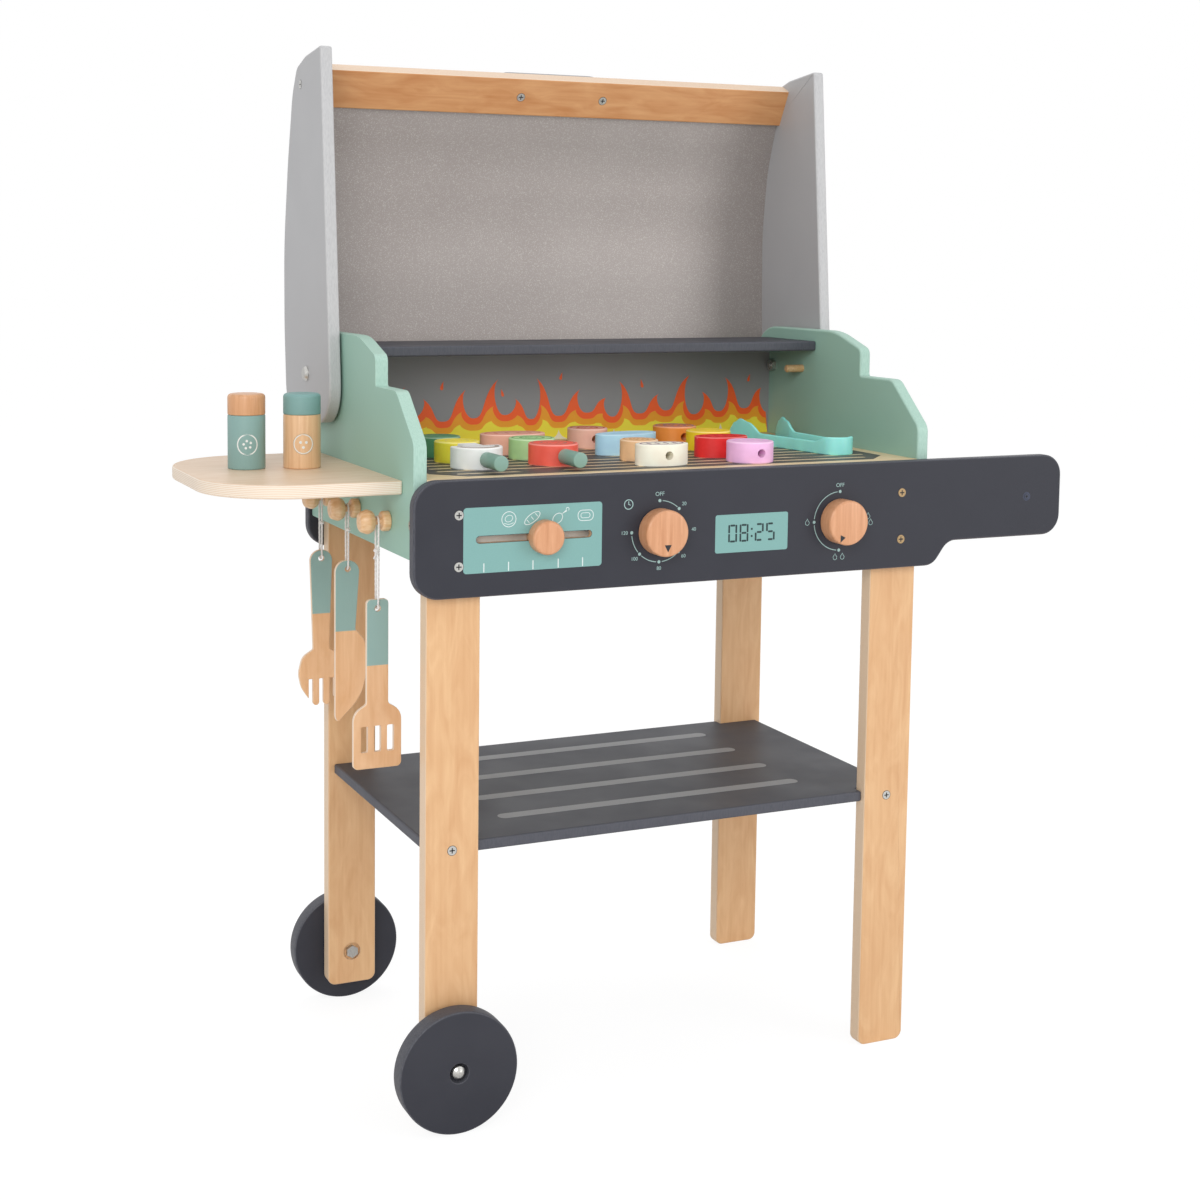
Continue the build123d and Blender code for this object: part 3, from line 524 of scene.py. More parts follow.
# under darkens the lower shelf's underside: a painted shade.
shelfPaint = paintFinish("shelfGreyPaint", "#484a51", darkEdgeHighlight, (0, 0, 1), under="#3c3d42", gloss=0.3)
warmPaint = paintFinish("warmingShelfPaint", "#44464e", "#54565e", (0, 0, 1), gloss=0.3)
mintPaint = paintFinish("sidePanelMintPaint", mint, mintEdgeHighlight, (1, 0, 0))
greyPaint = paintFinish("hoodGreyPaint", "#b0b0b2", "#c3c3c4", (1, 0, 0), roughness=0.46)
wallPaint = paintFinish("wallGreyPaint", "#8f8f90", "#a0a0a0", (0, 1, 0))
gripPaint = paintFinish("gripGreyPaint", "#85868a", "#9b9c9f", (1, 0, 0))
wheelPaint = paintFinish("wheelGreyPaint", "#34353d", "#5a5b62", (0, 1, 0), gloss=0.3)
knobBeech = beechFinish("knobBeech", "#dda47c", "#ca8d63")
pegBeech = beechFinish("pegBeech", "#ecc89f", "#d9a976", "x")
capBeech = beechFinish("capBeech", "#e0ab80", "#c99265")
saltBeech = beechFinish("saltBeech", "#efc79c", "#e0b286")
barBeech = beechFinish("handleBeech", "#dcb98d", "#c49a66", "y")
steel = metalFinish("zincSteel", "#c9c8c4", 0.3)
brass = metalFinish("yellowZincSteel", "#a48b68", 0.4)
darkSteel = metalFinish("blackenedSteel", "#4a4e5c", 0.45)
# Dark screw recess: painted shade in the screws' cross recesses and in the gaps round their heads.
recessShade = inkFinish("screwRecessShade", "#26262a")
sheetPaint = sheetFinish("sheetSatinPaint", "#9c9490", "#d8d3cf")
boardBacking = inkFinish("backingBoard", "#efe6da")
rawBoard = inkFinish("rawBoardEdge", "#cfb08e")
turquoise = plasticFinish("tongsPlastic", "#97ece4")
cotton = cottonFinish("cottonCord", "#f4f1ef", "#d2cdca")
tealInk = inkFinish("tealInk", "#7ca9a5")
whiteInk = inkFinish("whiteInk", "#d9e2e0", 0.4)
blackInk = inkFinish("blackInk", "#1f2228")
digitInk = inkFinish("digitInk", "#1b3133")
lineInk = inkFinish("dialInk", "#9bb9b6")
stripeInk = inkFinish("stripeInk", "#8e9094", 0.5)
grillInk = inkFinish("grillInk", "#4a4845", 0.5)

hoodLean = math.radians(5.2)
railTilt = math.radians(33)
railOut = (0, math.cos(railTilt) * math.cos(hoodLean) + math.sin(railTilt) * math.sin(hoodLean),
           math.sin(railTilt) * math.cos(hoodLean) - math.cos(railTilt) * math.sin(hoodLean))
railWood = plywoodFinish("railFigured", "#d9a26f", "#c3834e", "#e8d7c0", 1.5, "x", railOut)
print("finishes made")


# Cords: each is one loop of twisted cotton from its knot over the peg and through the tool

cordRoutes = {
    "spatula": {"y": 63, "hole": 454, "knot": 506, "knotSize": 3.1, "aside": 1.6,
                "tails": [(-3.2, 7.5), (1.6, 9)]},
    "knife": {"y": 149, "hole": 475, "knot": 512, "knotSize": 2.4, "aside": 0, "tails": []},
    "fork": {"y": 232, "hole": 472, "knot": 507, "knotSize": 2.4, "aside": 0, "tails": []},
}
cordSizes = {"across": 2.0, "x": -23.0, "peg": 531.0, "strands": 3, "turnEvery": 4.5, "sides": 18}


def cordSpline(route):
    # The route's points, with one more near each end of the long runs, where the photograph shows them
    # straight.
    y, x, knot = route["y"], cordSizes["x"], route["knot"]
    top, low = cordSizes["peg"] + 4.2, route["hole"] - 0.5
    points = [(x, y - 4.1, knot + 1.8), (x, y - 4.2, top - 11), (x, y - 4.2, top), (x, y + 4.2, top),
              (x, y + 4.1, top - 12), (x, y + 3.6, low + 13), (x, y + 3.55, low), (x, y - 3.55, low),
              (x, y - 3.7, low + 12), (x, y - 4.1, knot - 1.8)]
    curve = bpy.data.curves.new("cordLine", "CURVE")
    curve.dimensions = "3D"
    curve.resolution_u = 12
    spline = curve.splines.new("NURBS")
    spline.points.add(len(points) - 1)
    for point, place in zip(spline.points, points):
        point.co = (*at(*place), 1)
    spline.order_u = 3
    spline.use_endpoint_u = True
    mesh = evaluatedMesh(placed("cordLine", curve))
    return [v.co.copy() for v in mesh.vertices]


def twistedTube(name, path, across, sides):
    # Closed tube with lobes that wind round it, as laid strands do.
    strands, turnEvery = cordSizes["strands"], cordSizes["turnEvery"]
    bm = bmesh.new()
    side = Vector((1, 0, 0))
    rings, travelled = [], 0
    for i, point in enumerate(path):
        ahead = (path[min(i + 1, len(path) - 1)] - path[max(i - 1, 0)]).normalized()
        side = (side - ahead * side.dot(ahead)).normalized()
        other = ahead.cross(side)
        if i:
            travelled += (point - path[i - 1]).length * 1000
        ring = []
        for j in range(sides):
            angle = 2 * math.pi * j / sides
            lobe = 0.89 + 0.11 * math.cos(strands * (angle - 2 * math.pi * travelled / turnEvery / strands))
            ring.append(bm.verts.new(point + (side * math.cos(angle) + other * math.sin(angle))
                                     * lobe * across / 2000))
        rings.append(ring)
    return skinned(name, bm, rings, 60)


def finerPath(path, step=0.0004):
    fine = []
    for first, second in zip(path, path[1:]):
        count = max(1, round((second - first).length / step))
        fine += [first.lerp(second, k / count) for k in range(count)]
    return fine + [path[-1]]


def knotMesh(name, centre, tails, radius):
    # Small overhand knot: a lumpy ball, with cut ends below where tails says so.
    bm = bmesh.new()
    bmesh.ops.create_uvsphere(bm, u_segments=20, v_segments=14, radius=radius / 1000)
    for vert in bm.verts:
        angle = math.atan2(vert.co.y, vert.co.x)
        vert.co *= 0.9 + 0.12 * math.sin(3 * angle + vert.co.z * 1800)
        vert.co.z *= 0.85
        vert.co += centre
    for sideways, drop in tails:
        end = centre + Vector((sideways / 1000, -0.0012, -drop / 1000))
        bend = centre + Vector((sideways / 2500, -0.0014, -drop / 2200))
        bm.from_mesh(twistedTube("tail", finerPath([centre, bend, end]), 1.8, 14))
    mesh = meshOf(bm, name)
    settle(mesh, 60)
    return mesh


for tool, route in cordRoutes.items():
    line = cordSpline(route)
    body, node = "hanging_" + tool, tool + "_cord"
    tube = twistedTube(tool + "CordTube", finerPath(line), cordSizes["across"], cordSizes["sides"])
    cordPiece = addPiece(tool + "CordLoop", tube, cotton, body, "cord", (node,))
    centre = at(cordSizes["x"] - route["aside"], route["y"] - 4.1, route["knot"])
    ball = knotMesh(tool + "CordKnot", centre, route["tails"], route["knotSize"])
    knot = addPiece(tool + "CordKnot", ball, cotton, body, "cord", (node,))
    length = sum((b - a).length for a, b in zip(line, line[1:]))
    tuple(line[0])
    [tuple(p) for p in line]
print("cords hung")


# Floor and light

def makeStage():
    material = bpy.data.materials.new("paleFloor")
    tree = emptyTree(material)
    matt = addNode(tree, "ShaderNodeBsdfDiffuse", {"Color": (1, 1, 1, 1)})
    glow = addNode(tree, "ShaderNodeEmission", {"Color": (1, 1, 1, 1), "Strength": 1.093})
    rays = addNode(tree, "ShaderNodeLightPath")
    seen = maths(tree, "MULTIPLY", rays.outputs["Is Camera Ray"], 0.8)
    mix = addNode(tree, "ShaderNodeMixShader", {0: seen, 1: matt.outputs[0], 2: glow.outputs[0]})
    addNode(tree, "ShaderNodeOutputMaterial", {"Surface": mix.outputs[0]})
    mesh = bpy.data.meshes.new("floor")
    mesh.from_pydata([(-20, -20, 0), (20, -20, 0), (20, 20, 0), (-20, 20, 0)], [], [(0, 1, 2, 3)])
    mesh.materials.append(material)
    floor = placed("floor", mesh)
    world = bpy.data.worlds.new("studio")
    bpy.context.scene.world = world
    tree = emptyTree(world)
    rays = addNode(tree, "ShaderNodeLightPath")
    seen = maths(tree, "MAXIMUM", rays.outputs["Is Camera Ray"], rays.outputs["Is Glossy Ray"])
    seen = maths(tree, "MAXIMUM", seen, rays.outputs["Is Transmission Ray"])
    strength = spread(tree, seen, 0, 1, 0.63, 1.0)
    back = addNode(tree, "ShaderNodeBackground", {"Color": (1, 1, 1, 1), "Strength": strength})
    addNode(tree, "ShaderNodeOutputWorld", {"Surface": back.outputs[0]})


def addLamp(name, place, target, size, watts):
    data = bpy.data.lights.new(name, "AREA")
    data.shape = "DISK"
    data.size = size
    data.energy = watts
    lamp = placed(name, data)
    lamp.location = place
    lamp.rotation_euler = (Vector(target) - Vector(place)).to_track_quat("-Z", "Y").to_euler()


makeStage()
addLamp("key", (-1.7, -2.5, 1.7), (0, 0, 0.55), 1.5, 34)
addLamp("fill", (1.9, -2.2, 1.1), (0, 0, 0.5), 1.6, 17)
addLamp("top", (0.2, 0.6, 2.8), (0, 0, 0.6), 1.8, 12)
print("stage lit")


# Boards of the cart and the hood, with sanded edges

boards = [
    ("frontLeftLeg", "leg_front_left", 1.5, legWood, "plywood"),
    ("frontRightLeg", "leg_front_right", 1.5, legWood, "plywood"),
    ("rearLeftLeg", "leg_rear_left", 1.5, legWood, "plywood"),
    ("rearRightLeg", "leg_rear_right", 1.5, legWood, "plywood"),
    ("frontPanelBoard", "front_panel", 2, panelPaint, "dark_paint"),
    ("rearPanelBoard", "rear_panel", 2, panelPaint, "dark_paint"),
    ("leftSidePanel", "side_panel_left", 2, mintPaint, "mint_paint"),
    ("rightSidePanel", "side_panel_right", 2, mintPaint, "mint_paint"),
    ("cooktop", "cooktop_board", 0.8, gridWood, "plywood"),
    ("warmingShelfBoard", "warming_shelf", 1.5, warmPaint, "dark_paint"),
    ("lowerShelfBoard", "lower_shelf", 1.8, shelfPaint, "dark_paint"),
    ("sideTableBoard", "side_table", 2, topWood, "plywood"),
    ("hoodLeftSide", "hood_side_left", 2, greyPaint, "grey_paint"),
    ("hoodRightSide", "hood_side_right", 2, greyPaint, "grey_paint"),
    ("hoodGripBridge", "hood_grip", 1.6, gripPaint, "grey_paint"),
]
slotLow, slotHigh = at(39, -13, 517), at(152, 1, 527)  # box round the slider's slot
for name, node, radius, material, slotName in boards:
    body = "hood" if node.startswith("hood") else "cart"
    boardPiece = softened(name, node, radius, material, body, slotName)
    if node == "front_panel":
        boardPiece.data.materials.append(rawBoard)
        for polygon in boardPiece.data.polygons:
            inSlot = all(slotLow[i] < polygon.center[i] < slotHigh[i] for i in range(3))
            if inSlot and abs(polygon.normal.y) < 0.5:
                polygon.material_index = 1

repainted = {
    "back_wall": wallPaint, "hood_sheet": sheetPaint, "hood_rail": railWood, "slider_backing": boardBacking,
    "slider_shoe": saltBeech, "handle_screws": darkSteel, "push_handle": barBeech, "shelf_pegs": barBeech}
steelNodes = ("panel_screws shelf_screws table_screws side_screws grip_screws rail_screws hood_pivot_bolts "
              "hood_pivot_nuts hood_spacers axle_bolts axle_washers axle_cap_nuts timer_spindle "
              "heat_spindle")
repainted.update(dict.fromkeys(steelNodes.split(), steel))
for node, material in repainted.items():
    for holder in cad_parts[node].material_slots:
        holder.material = material
print("boards softened")


# Turned pieces

knobFoot = panelFace - runningGap
knobShape = {"radius": 21, "length": 17, "rounding": 2.6}
knobs = {
    "timer": {"x": 217, "z": 520.5, "pointer": [(-3.4, -10), (3.4, -10), (0, -16.5)]},
    "heat": {"x": 406, "z": 520.5, "pointer": [(-9.5, -10.5), (-9.5, -17.5), (-4.2, -13.2)]},
}
for knob, look in knobs.items():
    r, long, soft = knobShape.values()
    lathe(knob + "KnobTurned",
          [(11, 0, 0), (11, 3, 0), (0, 3, 0), (0, r, 0.6), (long, r, soft), (long, 0, 0)],
          at(look["x"], knobFoot, look["z"]), (0, -1, 0), knobBeech, knob, "beech", (knob + "_knob",), 96)
lathe("sliderKnobTurned", [(0, 0, 0), (0, 15, 1), (13, 15, 3), (13, 0, 0)],
      at(104, knobFoot, 522), (0, -1, 0), knobBeech, "slider", "beech", ("slider_knob",), 80)

pointerFace = knobFoot - knobShape["length"] - 0.05
for knob, look in knobs.items():
    printed(knob + "Pointer", blackInk,
            lambda u, v, out: at(look["x"] + u, pointerFace - out, look["z"] + v),
            [look["pointer"]], body=knob, slot="beech")

axleX, axleZ = 25, 55
wheelShape = [(0, 4.3, 0), (0, 55, 2), (18, 55, 2), (18, 9, 0.8), (11, 9, 0), (11, 4.3, 0), (0, 4.3, 0)]
for side, (y, way) in {"front": (-3 - runningGap, -1), "rear": (300 + runningGap, 1)}.items():
    lathe(side + "WheelDisc", wheelShape, at(axleX, y, axleZ), (0, way, 0), wheelPaint, side + "_wheel",
          "dark_paint", ("wheel_" + side,), 144)

pegShape = [(-8, 0, 0), (-8, 4, 0.5), (0, 4, 0), (0, 9, 1.5), (8, 9, 2.4), (8, 3, 1.5), (15.3, 3, 1),
            (14, 8.2, 3), (20, 11.2, 4.5), (28, 8.5, 4), (28, 0, 0)]
for tool, route in cordRoutes.items():
    lathe(tool + "Peg", pegShape, at(-12, route["y"], cordSizes["peg"]), (-1, 0, 0), pegBeech, "cart",
          "beech", ("hook_pegs",), 64)

shakerShape = {"radius": 17, "joint": 49, "top": 68, "badge": 23, "towards": math.radians(-102)}
shakers = {
    "pepper": {"x": -114, "y": 162, "body": inkFinish("pepperMintPaint", "#88aaa6", 0.12),
               "cap": capBeech, "slots": ("mint_paint", "beech")},
    "salt": {"x": -65, "y": 152, "body": saltBeech,
             "cap": inkFinish("saltCapMintPaint", "#7da4a1", 0.12),
             "slots": ("beech", "mint_paint")},
}
for name, look in shakers.items():
    foot = at(look["x"], look["y"], tableTop)
    r, joint, top = (shakerShape[key] for key in ("radius", "joint", "top"))
    lathe(name + "ShakerBody", [(0, 0, 0), (0, r, 1.2), (joint, r, 1.2), (joint, 0, 0)], foot, (0, 0, 1),
          look["body"], name + "_shaker", look["slots"][0], (name + "_body",), 80)
    lathe(name + "ShakerCap", [(joint, 0, 0), (joint, r, 1), (top, r, 3.4), (top, 0, 0)], foot, (0, 0, 1),
          look["cap"], name + "_shaker", look["slots"][1], (name + "_cap",), 80)


def onShaker(look):
    # Wraps a flat print round the shaker's body, on the side of the camera.
    def place(u, v, out):
        r, towards = shakerShape["radius"], shakerShape["towards"]
        x, y = around(look["x"], look["y"], r + out, towards + u / r)
        return at(x, y, tableTop + shakerShape["badge"] + v)
    return place


def dots(count, ring, radius):
    return [circle(*around(0, 0, ring, 2 * math.pi * k / count + 0.5), radius, steps=14)
            for k in range(count)]


badgeGrey = inkFinish("badgeGrey", "#9a9b98")
badgeWhite = inkFinish("badgeWhite", "#e8ebe8")
pepperFace, saltFace = onShaker(shakers["pepper"]), onShaker(shakers["salt"])
printed("pepperBadge", badgeWhite, pepperFace, [circle(0, 0, 9.6), circle(0, 0, 8.5)] + dots(5, 3.4, 1.15),
        body="pepper_shaker", slot="mint_paint")
printed("saltBadge", badgeGrey, saltFace, [circle(0, 0, 9.6)], body="salt_shaker", slot="beech")
printed("saltBadgeMarks", badgeWhite, saltFace, [circle(0, 0, 8.9), circle(0, 0, 8.1)] + dots(3, 3, 1.3),
        thick=0.2, body="salt_shaker", slot="beech")
print("turned pieces made")


# Hanging tools: birch boards, dipped in mint at the handle

for name, height in {"spatula": 403, "knife": 417, "fork": 418}.items():
    finish = plywoodFinish(name + "Birch", "#efc398", "#dfac7c", "#f4e4d0", 1.5,
                           cut=(height / 1000, "#8bb2af"))
    softened(name + "Board", name, 0.7, finish, "hanging_" + name, "plywood", share=0.6)
print("tools hung")


# Play food: each piece is one CAD solid with sanded edges, painted, with a printed top

foods = [
    # name, x, y, side colour, top colour, shape of the print and half its length
    ("mushroom", 73, 70, "#f6f6f4", "#a89a90", "mushroom", 20),
    ("corn", 73, 118, "#ffe63e", "#f2e07a", "disc", 18.5),
    ("pepper", 73, 164, "#5a9a70", "#6f9a72", "disc", 17.5),
    ("tomato", 150, 72, "#f8604e", "#c97a6d", "disc", 20.5),
    ("cucumber", 150, 121, "#b2dc9e", "#7fae74", "disc", 19.5),
    ("sausage", 150, 168, "#fcb6a0", "#e58f78", "long", 29),
    ("prawn", 243, 196, "#fcbda8", "#e0654f", "disc", 17.5),
    ("fish", 255, 134, "#b4e0fb", "#cfe4f2", "fish", 30),
    ("meal", 240, 76, "#f2c696", "#cf9d68", "disc", 15.5),
    ("aubergine", 243, 36, "#faf3e0", "#8d6a86", "long", 22),
    ("carrot", 338, 190, "#f8943c", "#b98aa0", "disc", 19.5),
    ("cheese", 346, 134, "#ffd71e", "#f7d65a", "disc", 19.5),
    ("steak", 330, 80, "#e62222", "#c4201f", "long", 23),
    ("onion", 334, 32, "#f3bce8", "#efc9e6", "disc", 19.5),
]


def foodFinish(name, colour):
    # Poster paint on a birch slab: bright and even, lighter towards cream on the rounded edges.
    material, tree, main = startMaterial(name, {"Roughness": 0.42, "IOR": 1.48})
    where, normal = surface(tree)
    patch = noise(tree, where, (14, 14, 14), 3)
    mixed = blend(tree, spread(tree, patch, 0.3, 0.7), colour, tinted(colour, 1.12, 0.015))
    up = facing(tree, normal, (0, 0, 1))
    edge = maths(tree, "MULTIPLY", spread(tree, up, 0.2, 0.5), spread(tree, up, 0.99, 0.85))
    mixed = blend(tree, spread(tree, edge, 0, 1, 0, 0.25), mixed, (1, 0.95, 0.88, 1))
    return ended(material, main, {"Base Color": mixed}, noise(tree, where, (1.4, 1.4, 1.4), 2), 0.04)


def topPrint(shape, r, x, y):
    # Closed loops of the print on a food's top, own plain drawings.
    if shape == "disc":
        seeds = [circle(*around(x, y, r * 0.28, k * 1.26), 1.3, steps=12) for k in range(5)]
        return [circle(x, y, size) for size in (r, r - 1.6, r * 0.62, r * 0.5)] + seeds
    if shape == "long":
        bars = [x + (0.4 * k - 0.6) * r for k in range(4)]
        return [circle(x, y, r, r * 0.52), circle(x, y, r - 1.6, r * 0.52 - 1.6)] + [
            rounded(bar - 1, bar + 1, y - 5, y + 5, 0.9) for bar in bars]
    if shape == "fish":
        eyeX, eyeY = around(x, y, -20, math.radians(12))
        return [circle(x, y, r, 13, 12), circle(x, y, r - 1.6, 11.4, 12),
                circle(eyeX, eyeY + 2, 1.8, steps=14)]
    return [circle(x, y - 3, r, steps=30, start=180, end=360),
            circle(x, y - 4, r - 4, 13, steps=30, start=180, end=360)]


skewerRows = {"leftSkewer": (73, 10), "middleSkewer": (150, 12)}
skewered = [x for x, start in skewerRows.values()]
for food, x, y, sideColour, topColour, shape, half in foods:
    name, node = food + "Piece", "skewered_food" if x in skewered else "loose_food"
    softened(name, node, 1.3, foodFinish(name + "Paint", sideColour), "cart", "food_paint", share=0.8,
             part=at(x, y, foodMiddle))
    printed(name + "Top", inkFinish(name + "Ink", topColour), onTop(foodTop), topPrint(shape, half, x, y),
            slot="food_paint")

skewerMint = inkFinish("skewerMintPaint", "#88ab9e", 0.12, 0.36)
skewerShape = [(0, 0, 0), (0, 7, 1), (34, 7, 0.8), (34, 3.5, 0), (188, 3.5, 0), (196, 0, 0)]
for name, (x, start) in skewerRows.items():
    lathe(name, skewerShape, at(x, start, foodMiddle), (0, 1, 0), skewerMint, "cart", "mint_paint",
          ("food_skewers",), 40)

tongsShape = {"x": 446, "y": 108, "turn": 4, "thick": 3, "front": -58, "back": 62, "end": 97,
              "bend": 14, "spread": 22, "flare": 29.5, "bendRadius": 12.8}
tongsHeights = [(0, 9), (2, 15), (7, 21), (15, 25), (26, 22), (46, 12), (128, 12), (150, 17.5), (400, 17.5)]


def between(steps, value):
    # Eased value between the (place, value) steps.
    for (low, first), (high, second) in zip(steps, steps[1:]):
        if value <= high:
            share = (value - low) / (high - low)
            return first + (second - first) * share * share * (3 - 2 * share)
    return steps[-1][1]


def tongsMesh(shape):
    # A strap bent on its edge: slim arms, a taller bend, and two rounded paddles that stand up.
    half = [(shape["flare"], shape["end"], 0), (shape["spread"], shape["back"], 14),
            (shape["bend"], shape["front"], shape["bendRadius"])]
    corners = [(-x, y, r) for x, y, r in half] + half[::-1]
    line = finerPath([Vector((x, y, 0)) for x, y in roundCorners(corners, 8)], 2)
    travelled = [0]
    for before, after in zip(line, line[1:]):
        travelled.append(travelled[-1] + (after - before).length)
    turn = Matrix.Rotation(math.radians(shape["turn"]), 3, "Z")
    bm = bmesh.new()
    rings = []
    for i, point in enumerate(line):
        ahead = (line[min(i + 1, len(line) - 1)] - line[max(i - 1, 0)]).normalized()
        across = Vector((-ahead.y, ahead.x, 0))
        high = between(tongsHeights, min(travelled[i], travelled[-1] - travelled[i]))
        ring = []
        for u, v in rounded(-shape["thick"] / 2, shape["thick"] / 2, 0, high, 1.3):
            place = turn @ (point + across * u)
            ring.append(bm.verts.new(at(shape["x"] + place.x, shape["y"] + place.y, cooktopTop + v)))
        rings.append(ring)
    return skinned("tongsStrap", bm, rings, 50)


addPiece("tongsStrap", tongsMesh(tongsShape), turquoise, "cart", "turquoise", ("tongs",))
print("play food laid out")


# Prints on the front panel

def seven(text, x, z, high, wide, line):
    # Seven-segment numerals as closed loops, for the digits that are shown.
    lit = {"0": "abcdef", "2": "abged", "5": "afgcd", "8": "abcdefg"}
    gap, loops = 0.35, []
    for sign in text:
        if sign == ":":
            loops += [rounded(x, x + line, z + high * share - line / 2, z + high * share + line / 2, 0.3)
                      for share in (0.3, 0.7)]
            x += line + 2.4
            continue
        right, middle, top = x + wide, z + high / 2, z + high
        bars = {"a": (x + gap, right - gap, top - line, top),
                "g": (x + gap, right - gap, middle - line / 2, middle + line / 2),
                "d": (x + gap, right - gap, z, z + line),
                "f": (x, x + line, middle + gap, top - gap), "e": (x, x + line, z + gap, middle - gap),
                "b": (right - line, right, middle + gap, top - gap),
                "c": (right - line, right, z + gap, middle - gap)}
        for key in lit[sign]:
            lowX, highX, lowZ, highZ = bars[key]
            if key in "agd":
                lowX, highX = lowX + line, highX - line
            loops.append(rounded(lowX, highX, lowZ, highZ, line * 0.35))
        x += wide + 2.6
    return loops


def dialMarks(x, z, stops, arcs):
    # Dots at the stops and arcs between them, all in degrees, round a knob.
    radius = 27.6
    loops = [circle(*around(x, z, radius, math.radians(stop)), 1.5, steps=16) for stop in stops]
    for start, end in arcs:
        loops += stroke(circle(x, z, radius, steps=24, start=start, end=end), 0.7)
    return loops


def foodIcons():
    # Four plain line drawings: a round, a long loaf, a drumstick and a slice.
    z, first, second, third, fourth = 538.5, 71, 93, 120.5, 144
    marks = [(circle(first, z, 6.6), 0.6, True), (circle(first, z + 0.6, 3.6, 2.8, 20), 0.5, True),
             ([(first - 4.4, z - 3.4), (first, z - 4.6), (first + 4.4, z - 3.2)], 0.5),
             (circle(second, z, 8.4, 3.6, 34), 0.6, True)]
    marks += [([(x - 1.2, y + 1.4), (x + 1.2, y - 1.4)], 0.5)
              for x, y in ((second + 4 * k, z + 2.6 * k) for k in (-1, 0, 1))]
    marks += [(circle(third - 3.4, z - 1.4, 5.2, 3.9, 40), 0.6, True),
              ([(third + 0.6, z + 1.8), (third + 5, z + 5.4)], 1),
              (circle(third + 6, z + 6.3, 1.4), 0.5, True),
              (rounded(fourth - 7.4, fourth + 7.4, z - 4.6, z + 4.6, 4), 0.6, True),
              (rounded(fourth - 4.6, fourth + 4.2, z - 2.2, z + 2.2, 2), 0.5, True)]
    return [loop for mark in marks for loop in stroke(*mark)]


def flameMark(x, z):
    shape = [(0, 3.4), (-1.1, 1.6), (-2.1, 0.1), (-1.8, -1.7), (0, -2.7), (1.8, -1.7), (2.1, 0.1),
             (1.1, 1.2)]
    return stroke([(x + u, z + v) for u, v in shape], 0.45, True)


ticks = [rounded(x - 0.45, x + 0.45, 493.6, 501.5, 0.2) for x in (48, 71, 94, 118, 141.5)]
printed("sliderPlate", tealInk, onFront,
        [rounded(29, 160, 493, 550, 3), rounded(40.6, 150.4, 518.6, 525.4, 3.3)])
printed("displayPlate", tealInk, onFront, [rounded(274, 350, 497, 532, 2.2)])
printed("displayDigits", digitInk, onFront, seven("08:25", 287.4, 506.3, 16.4, 9.2, 1.8), thick=0.2)
printed("sliderIcons", whiteInk, onFront, foodIcons(), thick=0.2)
printed("sliderTicks", whiteInk, onFront, ticks, thick=0.2)

timer, heat = ((look["x"], look["z"]) for look in knobs.values())
textRing, offSize, numberSize = 33.5, 5.2, 4.6
timerStops = {"OFF": 90, "20": 45, "40": 0, "60": -45, "80": -90, "100": -135, "120": 180}
timerTexts = []
for word, stop in timerStops.items():
    u, v = around(0, 0, textRing, math.radians(stop))
    timerTexts.append((word, offSize if word == "OFF" else numberSize, timer[0] + u * 1.04, timer[1] + v))
timerArcs = [(50, 84), (-38, -8), (-84, -52), (-130, -96), (186, 220)]
printed("timerDial", lineInk, onFront, dialMarks(*timer, timerStops.values(), timerArcs), timerTexts)
printed("timerClock", lineInk, onFront, stroke(circle(186, 546, 4.2), 0.8, True)
        + stroke([(186, 548.8), (186, 546), (187.9, 545.4)], 0.8))
heatLoops = dialMarks(*heat, (90, 180, -90, 0), [(96, 174), (186, 264)])
for x, z in ((371, 520.5), (402, 486.5), (410, 486.5), (437.5, 523.5), (434.5, 517.5), (440.5, 517.5)):
    heatLoops += flameMark(x, z)
printed("heatDial", lineInk, onFront, heatLoops, [("OFF", offSize, heat[0], heat[1] + textRing)])
print("panel printed")


# Prints on the shelf and the cooktop

stripes = [rounded(93, 411, y - 7, y + 7, 6.9) for y in (60, 120, 183, 246)]
printed("shelfStripes", stripeInk, onTop(shelfTop), stripes)

grill = {"left": 16, "right": 484, "front": 12, "back": 265, "corner": 26, "pitch": 21, "line": 6}


def grillPrint():
    low, high, near, far, c = (grill[key] for key in ("left", "right", "front", "back", "corner"))
    loops = [[(low + c, near), (high - c, near), (high, near + c), (high, far - c), (high - c, far),
              (low + c, far), (low, far - c), (low, near + c)]]
    y = near + 15
    while y < far - 12:
        inset = max(0, c - min(y - near, far - y)) + 12
        loops.append(rounded(low + inset, high - inset, y, y + grill["line"], 2.9))
        y += grill["pitch"]
    return loops


printed("grillPattern", grillInk, onTop(cooktopTop), grillPrint(), slot="plywood")
ovals = [(60, 200, 26, 11), (200, 108, 30, 12), (300, 226, 32, 11), (410, 60, 28, 10), (120, 34, 24, 9)]
printed("grillOvals", grillInk, onTop(cooktopTop), [circle(*oval) for oval in ovals], thick=0.16,
        slot="plywood")
print("cooktop printed")


# Flames on the back wall: own plain tongues, in three layers

def bezier(a, b, c, d, steps=10):
    a, b, c, d = (Vector(point) for point in (a, b, c, d))
    times = [i / steps for i in range(steps)]
    return [tuple((1 - t) ** 3 * a + 3 * (1 - t) ** 2 * t * b + 3 * (1 - t) * t * t * c + t ** 3 * d)
            for t in times]


flames = {"left": 1, "right": 499, "foot": 574.2, "width": 32}
tongues = [  # middle, height over the valleys, lean of the tip
    (14, 32, -6), (42, 18, 6), (70, 36, 9), (104, 24, -7), (136, 32, 8), (170, 42, 10), (204, 22, -6),
    (232, 42, -9), (264, 30, 9), (296, 20, 6), (326, 37, -8), (358, 23, 7), (390, 42, 11), (424, 24, -7),
    (454, 39, -9), (484, 27, 6)]


